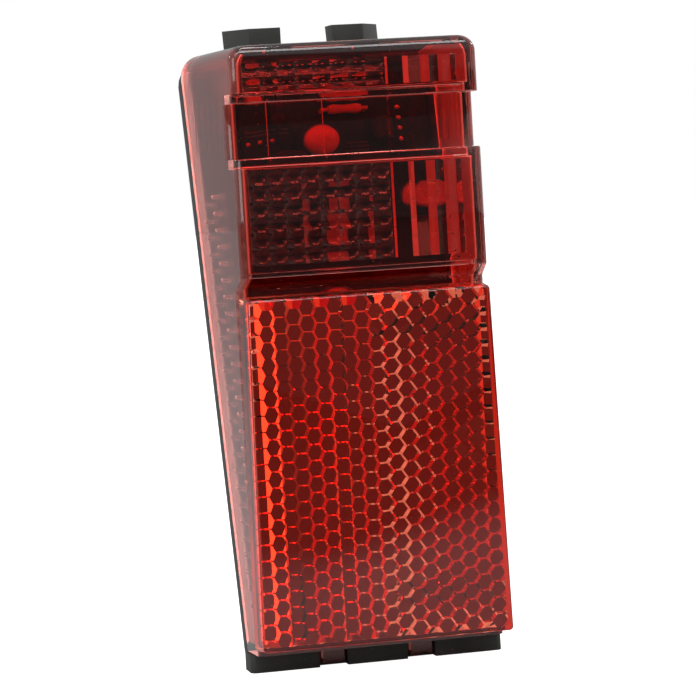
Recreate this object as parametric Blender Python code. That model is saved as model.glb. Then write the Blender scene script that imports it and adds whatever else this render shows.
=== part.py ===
"""Bicycle rear light for a mudguard: a red snap-on lens cover with a cube corner
reflector plate, hooked on a black base plate that carries the LED board and bolts.

The reflector's front face stands upright, faces -Y and lies at y = 0, and its
bottom edge is at z = 0. The back of the base leans by MOUNT_LEAN, as a mudguard
stay does. An empty moves all of it so that the middle of the base's mounting pad
is the origin.
"""

import math

import bmesh
import bpy
from mathutils import Vector

# Gaps between neighbouring pieces
SEAT_GAP = 0.0003
HINGE_GAP = 0.0004
WELD = 0.000002

# Reflector plate
REFLECTOR_HEIGHT = 0.0664
REFLECTOR_OVERHANG = 0.00025
REFLECTOR_FLARE = 0.0009
REFLECTOR_DEPTH = 0.0059
REFLECTOR_SKIRT = 0.0012
REFLECTOR_SIDE_SLOPE = 0.0005
REFLECTOR_EDGE_ROUND = 0.0006
REFLECTOR_CORNER = 0.0010
PRISM_PITCH = 0.0030
PRISM_SHEET = 0.0016
PRISM_CENTRE_X = -0.0012
PRISM_CENTRE_Z = 0.0338
PRISM_ZONE_SPLIT = 0.0001

# Lens cover, its front stacked up from the reflector's top edge
LENS_FRONT_HALF = 0.02345
LENS_SIDE_DRAFT = 0.06
LENS_WALL = 0.0018
LENS_BOTTOM = -0.0010
LENS_TOP_ROUND = 0.0030
LENS_BACK_ROUND = 0.0045
LENS_FRONT_ROUND = 0.0016
RIM_DEPTH = 0.0150
MOUNT_LEAN = math.radians(12.9)
BAND_FRONT = 0.0018
BAND_EDGE = 0.0004
WINDOW_FRONT = 0.0074
GROOVE_GAP = 0.0012
GROOVE_RISE = 0.0023
LAMP_BAND_HEIGHT = 0.0220
WINDOW_HEIGHT = 0.0103
TOP_BAND_HEIGHT = 0.0106

# Optics on the inner face of the two lamp bands
OPTIC_PAD = 0.0002
PILLOW_PITCH = 0.00315
PILLOW_RISE = 0.0006
RIB_PITCH = 0.0034
RIB_RISE = 0.0011
RIB_COUNT = 4
RIB_SLOPE = 0.6
RIB_FIRST_SHARE = 0.15
RIB_LAST_SHARE = 0.75
OPTIC_SPLIT_X = 0.0061
OPTIC_MARGIN = 0.0008

# Short ribs inside the side walls, in two staggered columns
SIDE_RIB_PITCH = 0.00315
SIDE_RIB_LOW = 0.0080
SIDE_RIB_ROWS = 25
SIDE_RIB_BEFORE_RIM = 0.0045
SIDE_RIB_LENGTH = 0.0066
SIDE_RIB_SPACING = 0.0072
SIDE_RIB_RISE = 0.0006
SIDE_RIB_SHORTEST = 0.0015

# Hooks at the top of the cover and snap tabs at its bottom
TONGUE_X = 0.0085
TONGUE_WIDTH = 0.0046
TONGUE_THICK = 0.0015
TONGUE_REACH = 0.0030
TAB_X = 0.0086
TAB_WIDTH = 0.0041
TAB_DROP = 0.0031
TAB_THICK = 0.0020
TAB_FRONT = 0.0108

# Base plate
PANEL_THICK = 0.0024
BASE_THICK = 0.0050
BASE_INSET = 0.0003
LIP_HEIGHT = 0.0025
LIP_THICK = 0.0012
SKIRT_WIDTH = 0.0018
PAD_HALF = 0.0085
POCKET_RIB = 0.0016
POCKET_ROWS = 4
LUG_INNER_X = 0.0052
LUG_FLAT_X = 0.0116
LUG_OUTER_X = 0.0158
LUG_RISE = 0.0048
LUG_ROOT = 0.0100
BAR_OVERHANG = 0.00115
BAR_FRONT = 0.0108
BAR_HEIGHT = 0.0035
BAR_CORNER = 0.0012
NOTCH_SIDE_GAP = 0.0007
CABLE_HOLE_RADIUS = 0.0042
CABLE_HOLE_X = 0.0150
CABLE_HOLE_UP = 0.0400

# Mounting bolts, washers and nuts
BOLT_RADIUS = 0.0025
BOLT_LENGTH = 0.0165
BOLT_HEAD_RADIUS = 0.0050
BOLT_HEAD_HEIGHT = 0.0028
BOLT_LOW_UP = 0.0130
BOLT_SPACING = 0.0500
CLAMP_ROOM = 0.0030
WASHER_RADIUS = 0.0050
WASHER_THICK = 0.0010
NUT_FLAT = 0.0040
NUT_HEIGHT = 0.0040

# Circuit board and what it carries, each piece placed from the board's middle
BOARD_HALF = 0.0170
BOARD_HALF_HEIGHT = 0.0150
BOARD_DROP = 0.0024
BOARD_THICK = 0.0016
BOARD_CORNER = 0.0030
BOSS_HEIGHT = 0.0060
BOSS_RADIUS = 0.0030
SCREW_SIDE_MARGIN = 0.0030
SCREW_MARGIN = 0.0035
SCREW_RADIUS = 0.00125
SCREW_LENGTH = 0.0050
SCREW_HEAD_RADIUS = 0.0024
SCREW_HEAD_HEIGHT = 0.0015
LED_X = -0.0020
LED_OVER_SILL = 0.0026
LED_RADIUS = 0.0034
LED_STEM = 0.0022
LED_FLANGE = 0.0006
LED_TIP_ANGLE = math.radians(15.0)
HOLDER_RADIUS = 0.0048
HOLDER_STAND = 0.0043
CAPACITOR_RADIUS = 0.0055
CAPACITOR_HEIGHT = 0.0085
CAPACITOR_X = -0.0095
CAPACITOR_OVER = -0.0085
RECTIFIER_WIDTH = 0.0078
RECTIFIER_DEPTH = 0.0027
RECTIFIER_HEIGHT = 0.0064
RECTIFIER_X = 0.0070
RECTIFIER_OVER = -0.0065
REGULATOR_WIDTH = 0.0044
REGULATOR_DEPTH = 0.0036
REGULATOR_HEIGHT = 0.0050
REGULATOR_FLAT = math.radians(25.0)
REGULATOR_X = 0.0105
REGULATOR_OVER = 0.0020
AXIAL_LEAD = 0.00035
AXIAL_LEG = 0.00036
AXIAL_BEND = 0.00105
AXIAL_WAIST = 0.8
AXIAL_STAND = 0.0010
RESISTOR_RADIUS = 0.00115
RESISTOR_LENGTH = 0.0063
RESISTOR_X = 0.0035
RESISTOR_OVER = 0.0070
RESISTOR_STEP = 0.0030
DIODE_RADIUS = 0.00135
DIODE_LENGTH = 0.0050
DIODE_X = -0.0095
DIODE_OVER = 0.0065
TERMINAL_WIDTH = 0.0028
TERMINAL_THICK = 0.0008
TERMINAL_FOOT = 0.0040
TERMINAL_REACH = 0.0070
TERMINAL_STEP = 0.0022
TERMINAL_X = 0.0028

# Facets of round shapes
ROUND_STEPS = 32
SMALL_STEPS = 20
NUT_STEPS = 24
ARC_STEPS = 5
TOP_STEPS = 7

# Sizes that follow from the ones above
LEAN_SIN = math.sin(MOUNT_LEAN)
LEAN_COS = math.cos(MOUNT_LEAN)
LEAN_TAN = math.tan(MOUNT_LEAN)
PRISM_STEP = PRISM_PITCH / math.sqrt(6.0)
REFLECTOR_TOP_HALF = LENS_FRONT_HALF + REFLECTOR_OVERHANG
REFLECTOR_BOTTOM_HALF = REFLECTOR_TOP_HALF + REFLECTOR_FLARE
COVER_FRONT = REFLECTOR_DEPTH + SEAT_GAP
GROOVE_TOP = REFLECTOR_HEIGHT + GROOVE_GAP
BAND_BOTTOM = GROOVE_TOP + GROOVE_RISE
WINDOW_BOTTOM = BAND_BOTTOM + LAMP_BAND_HEIGHT
WINDOW_TOP = WINDOW_BOTTOM + WINDOW_HEIGHT
LENS_HEIGHT = WINDOW_TOP + TOP_BAND_HEIGHT
RIM_TOP_UP = LENS_HEIGHT / LEAN_COS
BASE_CORNER = LENS_BACK_ROUND
BAR_HALF = LENS_FRONT_HALF + BAR_OVERHANG
PANEL_FRONT = SEAT_GAP
PAD_BACK = PANEL_FRONT + BASE_THICK
BOLT_UPS = (BOLT_LOW_UP, BOLT_LOW_UP + BOLT_SPACING)
MOUNT_UP = BOLT_LOW_UP + BOLT_SPACING / 2.0
LED_HEIGHT = WINDOW_BOTTOM + LED_OVER_SILL
BOARD_MIDDLE = LED_HEIGHT / LEAN_COS - BOARD_DROP
BOARD_LOW = BOARD_MIDDLE - BOARD_HALF_HEIGHT
BOARD_HIGH = BOARD_MIDDLE + BOARD_HALF_HEIGHT
BOARD_BACK = -(BOSS_HEIGHT + SEAT_GAP)
BOARD_FRONT = BOARD_BACK - BOARD_THICK
PART_SEAT = BOARD_FRONT - SEAT_GAP
HOLDER_FRONT = RIM_DEPTH + LED_HEIGHT * LEAN_TAN + BOARD_FRONT / LEAN_COS - HOLDER_STAND
SCREW_X = BOARD_HALF - SCREW_SIDE_MARGIN
SCREW_UPS = ((-SCREW_X, BOARD_HIGH - SCREW_MARGIN), (SCREW_X, BOARD_LOW + SCREW_MARGIN))


def rim_depth(height):
    """Distance from the front plane to the lens rim at this height."""
    return RIM_DEPTH + height * LEAN_TAN


def rim_point(x, behind, up):
    """Point in the front frame, given behind the rim plane and up along it."""
    return (x, RIM_DEPTH + up * LEAN_SIN + behind * LEAN_COS, up * LEAN_COS - behind * LEAN_SIN)


def lens_half(depth):
    """Half width of the lens cover's outside at this depth."""
    return LENS_FRONT_HALF + LENS_SIDE_DRAFT * depth


def rim_half(up):
    """Half width of the lens cover's outside at its rim, up along the rim plane."""
    return lens_half(RIM_DEPTH + up * LEAN_SIN)


# Mesh building

def loft(rings, closed=False):
    """Skin between loops of equal length, capped at both ends or joined end to start."""
    count = len(rings[0])
    points = [tuple(point) for ring in rings for point in ring]
    faces = []
    spans = len(rings) if closed else len(rings) - 1
    for level in range(spans):
        low = level * count
        high = ((level + 1) % len(rings)) * count
        for k in range(count):
            after = (k + 1) % count
            faces.append((low + k, low + after, high + after, high + k))
    if not closed:
        faces.append(tuple(range(count)))
        faces.append(tuple(range(len(points) - count, len(points))))
    return points, faces


def merged(*shapes):
    """Several shapes that don't touch, as one list of points and faces."""
    points = []
    faces = []
    for shape_points, shape_faces in shapes:
        start = len(points)
        points.extend(shape_points)
        faces.extend(tuple(index + start for index in face) for face in shape_faces)
    return points, faces


def shifted(shape, x=0.0, y=0.0, z=0.0):
    """A shape moved by an offset."""
    points, faces = shape
    return [(px + x, py + y, pz + z) for px, py, pz in points], faces


def block(low, high):
    """Rectangular block between two corners."""
    rings = []
    for y in (low[1], high[1]):
        rings.append([(low[0], y, low[2]), (high[0], y, low[2]),
                      (high[0], y, high[2]), (low[0], y, high[2])])
    return loft(rings)


def turned(profile, steps):
    """Solid turned about the local Y axis from (radius, y) pairs, with flat ends."""
    return loft([circle(radius, y, steps) for radius, y in profile])


def turned_ring(profile, steps):
    """Ring turned about the local Y axis from a closed (radius, y) profile."""
    return loft([circle(radius, y, steps) for radius, y in profile], closed=True)


def circle(radius, y, steps):
    """Loop of points about the local Y axis."""
    turn = 2.0 * math.pi / steps
    return [(radius * math.cos(k * turn), y, radius * math.sin(k * turn)) for k in range(steps)]


def plate(outline, front, back):
    """Flat plate with an (x, z) outline between two depths."""
    return loft([[(x, y, z) for x, z in outline] for y in (front, back)])


def frame_ring(outer, inner, front, back):
    """Ring with equal (x, z) outlines outside and inside, between two depths."""
    rings = [[(x, front, z) for x, z in outer], [(x, back, z) for x, z in outer],
             [(x, back, z) for x, z in inner], [(x, front, z) for x, z in inner]]
    return loft(rings, closed=True)


def trapezoid(low_half, high_half, low, high, corner):
    """Upright trapezoid outline with round corners, as (x, z) points."""
    centres = ((high_half - corner, high - corner, 0.0),
               (corner - high_half, high - corner, 90.0),
               (corner - low_half, low + corner, 180.0),
               (low_half - corner, low + corner, 270.0))
    outline = []
    for cx, cz, start in centres:
        for k in range(ARC_STEPS + 1):
            angle = math.radians(start + 90.0 * k / ARC_STEPS)
            outline.append((cx + corner * math.cos(angle), cz + corner * math.sin(angle)))
    return outline


def made_object(name, shape, parent, material=None, location=(0.0, 0.0, 0.0), smooth=30.0):
    """Adds an object with this shape under its parent empty."""
    points, faces = shape
    mesh = bpy.data.meshes.new(name)
    mesh.from_pydata(points, [], faces)
    shell = bmesh.new()
    shell.from_mesh(mesh)
    bmesh.ops.recalc_face_normals(shell, faces=shell.faces)
    shell.to_mesh(mesh)
    shell.free()
    mesh.shade_smooth()
    mesh.set_sharp_from_angle(angle=math.radians(smooth))
    obj = bpy.data.objects.new(name, mesh)
    bpy.context.scene.collection.objects.link(obj)
    obj.parent = parent
    obj.location = location
    if material is not None:
        mesh.materials.append(material)
    return obj


def hidden_shape(name, shape, parent, location=(0.0, 0.0, 0.0)):
    """Adds a helper that only cuts or adds to other objects."""
    helper = made_object(name, shape, parent, location=location)
    helper.hide_render = True
    helper.display_type = "WIRE"
    return helper


def boolean(target, helper, operation):
    """Cuts, adds or intersects a target with a helper."""
    modifier = target.modifiers.new(helper.name, "BOOLEAN")
    modifier.operation = operation
    modifier.solver = "EXACT"
    modifier.object = helper


def empty(name, parent=None, location=(0.0, 0.0, 0.0), lean=0.0):
    """Adds an empty that carries other objects."""
    obj = bpy.data.objects.new(name, None)
    bpy.context.scene.collection.objects.link(obj)
    obj.parent = parent
    obj.location = location
    obj.rotation_euler = (-lean, 0.0, 0.0)
    return obj


def finish(name, colour, roughness, metallic=0.0, clear=0.0):
    """Adds a Principled material."""
    material = bpy.data.materials.new(name)
    material.use_nodes = True
    shader = material.node_tree.nodes["Principled BSDF"]
    shader.inputs["Base Color"].default_value = (*colour, 1.0)
    shader.inputs["Roughness"].default_value = roughness
    shader.inputs["Metallic"].default_value = metallic
    shader.inputs["Transmission Weight"].default_value = clear
    material.diffuse_color = (*colour, 1.0)
    return material


# Lens cover

def top_cut(height, radius):
    """How far the cover's round top edge, of this radius, pulls in at a height."""
    over = height - (LENS_HEIGHT - radius)
    return radius - math.sqrt(max(radius * radius - over * over, 0.0)) if over > 0.0 else 0.0


def cover_level(height, front, inset, round_front, shrink=0.0):
    """Loop of the cover at one height: round front corners, straight back on the rim plane."""
    back = rim_depth(height)
    back_half = lens_half(back) - inset - top_cut(height + shrink, LENS_BACK_ROUND)
    centre_y = front + round_front
    half = lens_half(centre_y) - inset - top_cut(height + shrink, LENS_TOP_ROUND)
    loop = [(back_half, back, height)]
    for side, start in ((1.0, 0.0), (-1.0, -90.0)):
        for k in range(ARC_STEPS + 1):
            angle = math.radians(start - 90.0 * k / ARC_STEPS)
            x = side * (half - round_front) + round_front * math.cos(angle)
            loop.append((x, centre_y + round_front * math.sin(angle), height))
    loop.append((-back_half, back, height))
    return loop


def cover_outside():
    """Outside of the cover: stepped front bands, groove, drafted sides, round top."""
    steps = [(LENS_BOTTOM, COVER_FRONT), (GROOVE_TOP, COVER_FRONT),
             (BAND_BOTTOM, BAND_FRONT),
             (WINDOW_BOTTOM - BAND_EDGE, BAND_FRONT), (WINDOW_BOTTOM, BAND_FRONT + BAND_EDGE),
             (WINDOW_BOTTOM, WINDOW_FRONT), (WINDOW_TOP, WINDOW_FRONT),
             (WINDOW_TOP, BAND_FRONT + BAND_EDGE), (WINDOW_TOP + BAND_EDGE, BAND_FRONT)]
    rings = [cover_level(height, front, 0.0, LENS_FRONT_ROUND) for height, front in steps]
    for k in range(TOP_STEPS + 1):
        angle = math.radians(90.0 * k / TOP_STEPS)
        height = LENS_HEIGHT - LENS_BACK_ROUND * (1.0 - math.sin(angle))
        front = BAND_FRONT + top_cut(height, LENS_TOP_ROUND) / 2.0
        rings.append(cover_level(height, front, 0.0, LENS_FRONT_ROUND))
    return loft(rings)


def cover_hollow():
    """Inside of the cover, one wall in from the outside, running out past the rim."""
    band = BAND_FRONT + LENS_WALL
    window = WINDOW_FRONT + LENS_WALL
    steps = [(LENS_BOTTOM + LENS_WALL, COVER_FRONT + LENS_WALL),
             (GROOVE_TOP + LENS_WALL / 2.0, COVER_FRONT + LENS_WALL),
             (BAND_BOTTOM + LENS_WALL / 2.0, band),
             (WINDOW_BOTTOM - LENS_WALL, band), (WINDOW_BOTTOM - LENS_WALL, window),
             (WINDOW_TOP + LENS_WALL, window), (WINDOW_TOP + LENS_WALL, band),
             (LENS_HEIGHT - LENS_BACK_ROUND - LENS_WALL / 2.0, band),
             (LENS_HEIGHT - LENS_TOP_ROUND, band), (LENS_HEIGHT - LENS_WALL, band)]
    rings = []
    for height, front in steps:
        ring = cover_level(height, front, LENS_WALL, LENS_WALL / 2.0, LENS_WALL / 2.0)
        past = LENS_WALL
        ring[0] = (ring[0][0] + past * LENS_SIDE_DRAFT, ring[0][1] + past, height)
        ring[-1] = (ring[-1][0] - past * LENS_SIDE_DRAFT, ring[-1][1] + past, height)
        rings.append(ring)
    return loft(rings)


def pillow_bank(low_x, high_x, low_z, high_z, face_y):
    """Grid of shallow four-sided pillows that stand into the chamber from one wall."""
    columns = max(1, round((high_x - low_x) / PILLOW_PITCH))
    rows = max(1, round((high_z - low_z) / PILLOW_PITCH))
    across = (high_x - low_x) / columns
    upward = (high_z - low_z) / rows
    corner_y = face_y + OPTIC_PAD
    bank = bmesh.new()
    grid = [[bank.verts.new((low_x + i * across, corner_y, low_z + j * upward))
             for i in range(columns + 1)] for j in range(rows + 1)]
    for j in range(rows):
        for i in range(columns):
            middle = bank.verts.new((low_x + (i + 0.5) * across, corner_y + PILLOW_RISE,
                                     low_z + (j + 0.5) * upward))
            corners = (grid[j][i], grid[j][i + 1], grid[j + 1][i + 1], grid[j + 1][i])
            for k in range(4):
                bank.faces.new((corners[k], corners[(k + 1) % 4], middle))
    return closed_to_depth(bank, face_y - LENS_WALL / 2.0)


def closed_to_depth(shell, depth):
    """Runs an open sheet's border to a flat face at this depth and closes it."""
    border = [edge for edge in shell.edges if edge.is_boundary]
    grown = bmesh.ops.extrude_edge_only(shell, edges=border)["geom"]
    added = [item for item in grown if isinstance(item, bmesh.types.BMVert)]
    for vert in added:
        vert.co.y = depth
    bmesh.ops.remove_doubles(shell, verts=added, dist=WELD)
    rest = [edge for edge in shell.edges if edge.is_boundary]
    bmesh.ops.contextual_create(shell, geom=rest)
    shell.verts.index_update()
    points = [tuple(vert.co) for vert in shell.verts]
    faces = [tuple(vert.index for vert in face.verts) for face in shell.faces]
    shell.free()
    return points, faces


def rib_bank(low_x, low_z, high_z, face_y):
    """Row of upright prism ribs on one wall, their left faces wider to the right."""
    outline = [(low_x, face_y - LENS_WALL / 2.0), (low_x, face_y + OPTIC_PAD)]
    for k in range(RIB_COUNT):
        start = low_x + k * RIB_PITCH
        share = RIB_FIRST_SHARE + (RIB_LAST_SHARE - RIB_FIRST_SHARE) * k / (RIB_COUNT - 1)
        rise = min(RIB_RISE, OPTIC_PAD + share * RIB_PITCH * RIB_SLOPE)
        outline.append((start + share * RIB_PITCH, face_y + rise))
        outline.append((start + RIB_PITCH, face_y + OPTIC_PAD))
    outline.append((low_x + RIB_COUNT * RIB_PITCH, face_y - LENS_WALL / 2.0))
    return loft([[(x, y, z) for x, y in outline] for z in (low_z, high_z)])


def cover_optics():
    """Pillows on the left and prism ribs on the right of both lamp bands."""
    face = BAND_FRONT + LENS_WALL
    left = OPTIC_MARGIN + LENS_WALL - lens_half(face)
    banks = []
    for low, high in ((BAND_BOTTOM + LENS_WALL, WINDOW_BOTTOM - LENS_WALL),
                      (WINDOW_TOP + LENS_WALL, LENS_HEIGHT - LENS_TOP_ROUND)):
        low_z = low + OPTIC_MARGIN / 2.0
        high_z = high - OPTIC_MARGIN / 2.0
        banks.append(pillow_bank(left, OPTIC_SPLIT_X - OPTIC_MARGIN / 2.0, low_z, high_z, face))
        banks.append(rib_bank(OPTIC_SPLIT_X, low_z, high_z, face))
    return merged(*banks)


def side_ribs():
    """Short level ribs inside both side walls, clear of the front wall and of the base's lip."""
    ribs = []
    for side in (-1.0, 1.0):
        for column in range(2):
            for row in range(SIDE_RIB_ROWS):
                z = SIDE_RIB_LOW + (row + column / 2.0) * SIDE_RIB_PITCH
                deep = rim_depth(z) - SIDE_RIB_BEFORE_RIM - column * SIDE_RIB_SPACING
                shallow = max(deep - SIDE_RIB_LENGTH, COVER_FRONT + LENS_WALL / 2.0)
                if deep - shallow < SIDE_RIB_SHORTEST:
                    continue
                ends = []
                for y in (deep, shallow):
                    wall = lens_half(y) - LENS_WALL
                    root = side * (wall + LENS_WALL / 3.0)
                    ends.append([(root, y, z - SIDE_RIB_PITCH / 4.0),
                                 (side * (wall - SIDE_RIB_RISE), y, z),
                                 (root, y, z + SIDE_RIB_PITCH / 4.0)])
                ribs.append(loft(ends))
    return merged(*ribs)


def cover_hooks():
    """Two tongues behind the top edge and two snap tabs under the bottom wall."""
    rim = rim_depth(LENS_HEIGHT)
    hooks = []
    for side in (-1.0, 1.0):
        low = (side * TONGUE_X - TONGUE_WIDTH / 2.0, rim - LENS_WALL,
               LENS_HEIGHT - HINGE_GAP / 2.0 - TONGUE_THICK)
        high = (side * TONGUE_X + TONGUE_WIDTH / 2.0, rim + TONGUE_REACH,
                LENS_HEIGHT - HINGE_GAP / 2.0)
        hooks.append(block(low, high))
        low = (side * TAB_X - TAB_WIDTH / 2.0, TAB_FRONT, LENS_BOTTOM - TAB_DROP)
        high = (side * TAB_X + TAB_WIDTH / 2.0, TAB_FRONT + TAB_THICK,
                LENS_BOTTOM + LENS_WALL / 2.0)
        hooks.append(block(low, high))
    return merged(*hooks)


def lens_cover(hinge, material):
    """Red moulded shell in front of the base, from its hooks to its snap tabs."""
    back = tuple(-value for value in hinge.location)
    cover = made_object("lens_cover", cover_outside(), hinge, material, back)
    boolean(cover, hidden_shape("cover_hollow", cover_hollow(), hinge, back), "DIFFERENCE")
    boolean(cover, hidden_shape("cover_optics", cover_optics(), hinge, back), "UNION")
    boolean(cover, hidden_shape("side_ribs", side_ribs(), hinge, back), "UNION")
    boolean(cover, hidden_shape("cover_hooks", cover_hooks(), hinge, back), "UNION")


# Reflector plate

def reflector_outline(inset):
    """Outline of the reflector plate, moved in by an inset, as (x, z) points."""
    corner = max(REFLECTOR_CORNER - inset / 2.0, REFLECTOR_CORNER / 2.0)
    return trapezoid(REFLECTOR_BOTTOM_HALF - inset, REFLECTOR_TOP_HALF - inset,
                     inset, REFLECTOR_HEIGHT - inset, corner)


def reflector_body():
    """Outside of the reflector plate, with a round front edge and sloped sides."""
    rings = []
    for k in range(ARC_STEPS - 1):
        angle = math.radians(90.0 * k / (ARC_STEPS - 2))
        inset = REFLECTOR_SIDE_SLOPE + REFLECTOR_EDGE_ROUND * (1.0 - math.sin(angle))
        depth = REFLECTOR_EDGE_ROUND * (1.0 - math.cos(angle))
        rings.append([(x, depth, z) for x, z in reflector_outline(inset)])
    rings.append([(x, REFLECTOR_DEPTH, z) for x, z in reflector_outline(0.0)])
    return loft(rings)


def prism_air():
    """Air behind the plate: a honeycomb of cube corners, three square faces to a cell.

    The stars of the two zones are turned by half a turn, and small upright walls close
    the steps between them.
    """
    column = PRISM_PITCH * math.sqrt(3.0) / 2.0
    reach = PRISM_PITCH / math.sqrt(3.0)
    first = math.floor((-REFLECTOR_BOTTOM_HALF - PRISM_CENTRE_X) / column)
    last = math.ceil((REFLECTOR_BOTTOM_HALF - PRISM_CENTRE_X) / column)
    lowest = math.floor(-PRISM_CENTRE_Z / PRISM_PITCH) - 1
    highest = math.ceil((REFLECTOR_HEIGHT - PRISM_CENTRE_Z) / PRISM_PITCH)
    shell = bmesh.new()

    def facet(*corners):
        shell.faces.new([shell.verts.new((place[0], PRISM_SHEET + steps * PRISM_STEP, place[1]))
                         for place, steps in corners])

    for i in range(first, last + 1):
        for j in range(lowest, highest + 1):
            x = PRISM_CENTRE_X + i * column
            z = PRISM_CENTRE_Z + (j + 0.5 * (i % 2)) * PRISM_PITCH
            in_right = x > PRISM_ZONE_SPLIT
            middle = ((x, z), 2.0)
            rim = []
            for k in range(6):
                angle = math.radians(60.0 * k)
                place = (x + reach * math.cos(angle), z + reach * math.sin(angle))
                rim.append((place, 1.0 if (k % 2 == 0) != in_right else 0.0))
            for k in range(6):
                one, two = rim[k][0], rim[(k + 1) % 6][0]
                across = x + PRISM_PITCH * math.cos(math.radians(60.0 * k + 30.0))
                if (across > PRISM_ZONE_SPLIT) == in_right:
                    facet(rim[k], rim[(k + 1) % 6], middle)
                    continue
                halfway = (((one[0] + two[0]) / 2.0, (one[1] + two[1]) / 2.0), 0.5)
                facet(rim[k], halfway, middle)
                facet(halfway, rim[(k + 1) % 6], middle)
                if in_right:
                    facet((one, 0.0), (one, 1.0), halfway)
                    facet((two, 1.0), (two, 0.0), halfway)
    bmesh.ops.remove_doubles(shell, verts=shell.verts, dist=WELD)
    return closed_to_depth(shell, REFLECTOR_DEPTH + PRISM_PITCH)


def reflector_plate(hinge, material):
    """Clear red plate with a smooth face and a field of cube corners behind it."""
    back = tuple(-value for value in hinge.location)
    body = made_object("reflector_plate", reflector_body(), hinge, material, back)
    air = hidden_shape("prism_air", prism_air(), hinge, back)
    inner = plate(reflector_outline(REFLECTOR_SKIRT), PRISM_SHEET / 2.0,
                  REFLECTOR_DEPTH + PRISM_PITCH / 2.0)
    boolean(air, hidden_shape("prism_bounds", inner, hinge, back), "INTERSECT")
    boolean(body, air, "DIFFERENCE")


# Base plate

def base_outline(inset):
    """Outline of the base in the rim plane, inside the lens by an inset, as (x, up) points."""
    low = (LENS_BOTTOM - SEAT_GAP - BAR_HEIGHT) / LEAN_COS
    return trapezoid(rim_half(low) - inset, rim_half(RIM_TOP_UP) - inset,
                     low, RIM_TOP_UP - inset, BASE_CORNER)


def lip_outline(inset):
    """Outline of the locating lip in the rim plane, as (x, up) points."""
    low = LENS_BOTTOM / LEAN_COS + inset
    high = RIM_TOP_UP - inset - LIP_HEIGHT * LEAN_TAN
    return trapezoid(rim_half(low) - inset, rim_half(high) - inset, low, high, BASE_CORNER)


def base_pockets():
    """Cored pockets in the back, left and right of the mounting pad, ribs between them."""
    low = POCKET_RIB
    high = RIM_TOP_UP - LUG_ROOT
    step = (high - low) / POCKET_ROWS
    pockets = []
    for row in range(POCKET_ROWS):
        bottom = low + row * step
        top = bottom + step - POCKET_RIB
        for side in (-1.0, 1.0):
            rings = []
            for behind in (PANEL_FRONT + PANEL_THICK, PAD_BACK + PANEL_THICK):
                rings.append([(side * PAD_HALF, behind, bottom),
                              (side * (rim_half(bottom) - BASE_INSET - SKIRT_WIDTH), behind, bottom),
                              (side * (rim_half(top) - BASE_INSET - SKIRT_WIDTH), behind, top),
                              (side * PAD_HALF, behind, top)])
            pockets.append(loft(rings))
    return merged(*pockets)


def hole(x, up, radius, front, back, steps):
    """Round cutter along the rim plane's normal."""
    return shifted(turned([(radius, front), (radius, back)], steps), x=x, z=up)


def base_bosses():
    """Two bosses for the circuit board's screws."""
    bosses = []
    for x, up in SCREW_UPS:
        profile = [(BOSS_RADIUS, -BOSS_HEIGHT), (BOSS_RADIUS, PANEL_FRONT + PANEL_THICK / 2.0)]
        bosses.append(shifted(turned(profile, SMALL_STEPS), x=x, z=up))
    return merged(*bosses)


def base_holes():
    """Bolt holes, cable hole and blind screw holes."""
    past = PAD_BACK + PANEL_THICK
    holes = [hole(0.0, up, BOLT_RADIUS + SEAT_GAP, -PANEL_THICK, past, ROUND_STEPS) for up in BOLT_UPS]
    holes.append(hole(CABLE_HOLE_X, CABLE_HOLE_UP, CABLE_HOLE_RADIUS, -PANEL_THICK, past,
                      ROUND_STEPS))
    deep = BOARD_FRONT + SCREW_LENGTH + SEAT_GAP
    for x, up in SCREW_UPS:
        holes.append(hole(x, up, SCREW_RADIUS + SEAT_GAP, BOARD_FRONT, deep, SMALL_STEPS))
    return merged(*holes)


def lug_level(side, height):
    """Plan loop of one top lug at a height, flat in front with its outer corner cut back."""
    front = rim_depth(min(height, LENS_HEIGHT)) + SEAT_GAP / LEAN_COS
    back = rim_depth(height) + BASE_THICK / LEAN_COS
    return [(side * LUG_INNER_X, front, height), (side * LUG_FLAT_X, front, height),
            (side * LUG_OUTER_X, back, height), (side * LUG_INNER_X, back, height)]


def base_lugs():
    """Two lugs that stand above the lens's top edge, their backs flush with the leaning base."""
    levels = (LENS_HEIGHT - LUG_ROOT, LENS_HEIGHT, LENS_HEIGHT + LUG_RISE)
    return merged(*[loft([lug_level(side, height) for height in levels])
                    for side in (-1.0, 1.0)])


def hook_pockets():
    """Pockets in the lugs, with room for the tongues to swing down."""
    rim = rim_depth(LENS_HEIGHT)
    sweep = TONGUE_REACH + TONGUE_THICK / 2.0 + HINGE_GAP
    pockets = []
    for side in (-1.0, 1.0):
        low = (side * TONGUE_X - TONGUE_WIDTH / 2.0 - HINGE_GAP, rim - LENS_WALL,
               LENS_HEIGHT - sweep)
        high = (side * TONGUE_X + TONGUE_WIDTH / 2.0 + HINGE_GAP,
                rim + TONGUE_REACH + HINGE_GAP, LENS_HEIGHT + HINGE_GAP)
        pockets.append(block(low, high))
    return merged(*pockets)


def bottom_bar():
    """Bar along the foot of the base, reaching forward under the lens."""
    top = LENS_BOTTOM - SEAT_GAP
    low = top - BAR_HEIGHT
    back = rim_depth(low) + BASE_THICK / 2.0
    outline = [(BAR_HALF, back), (-BAR_HALF, back)]
    for side, start in ((-1.0, 180.0), (1.0, 270.0)):
        for k in range(ARC_STEPS + 1):
            angle = math.radians(start + 90.0 * k / ARC_STEPS)
            outline.append((side * (BAR_HALF - BAR_CORNER) + BAR_CORNER * math.cos(angle),
                            BAR_FRONT + BAR_CORNER + BAR_CORNER * math.sin(angle)))
    return loft([[(x, y, z) for x, y in outline] for z in (low, top)])


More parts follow.
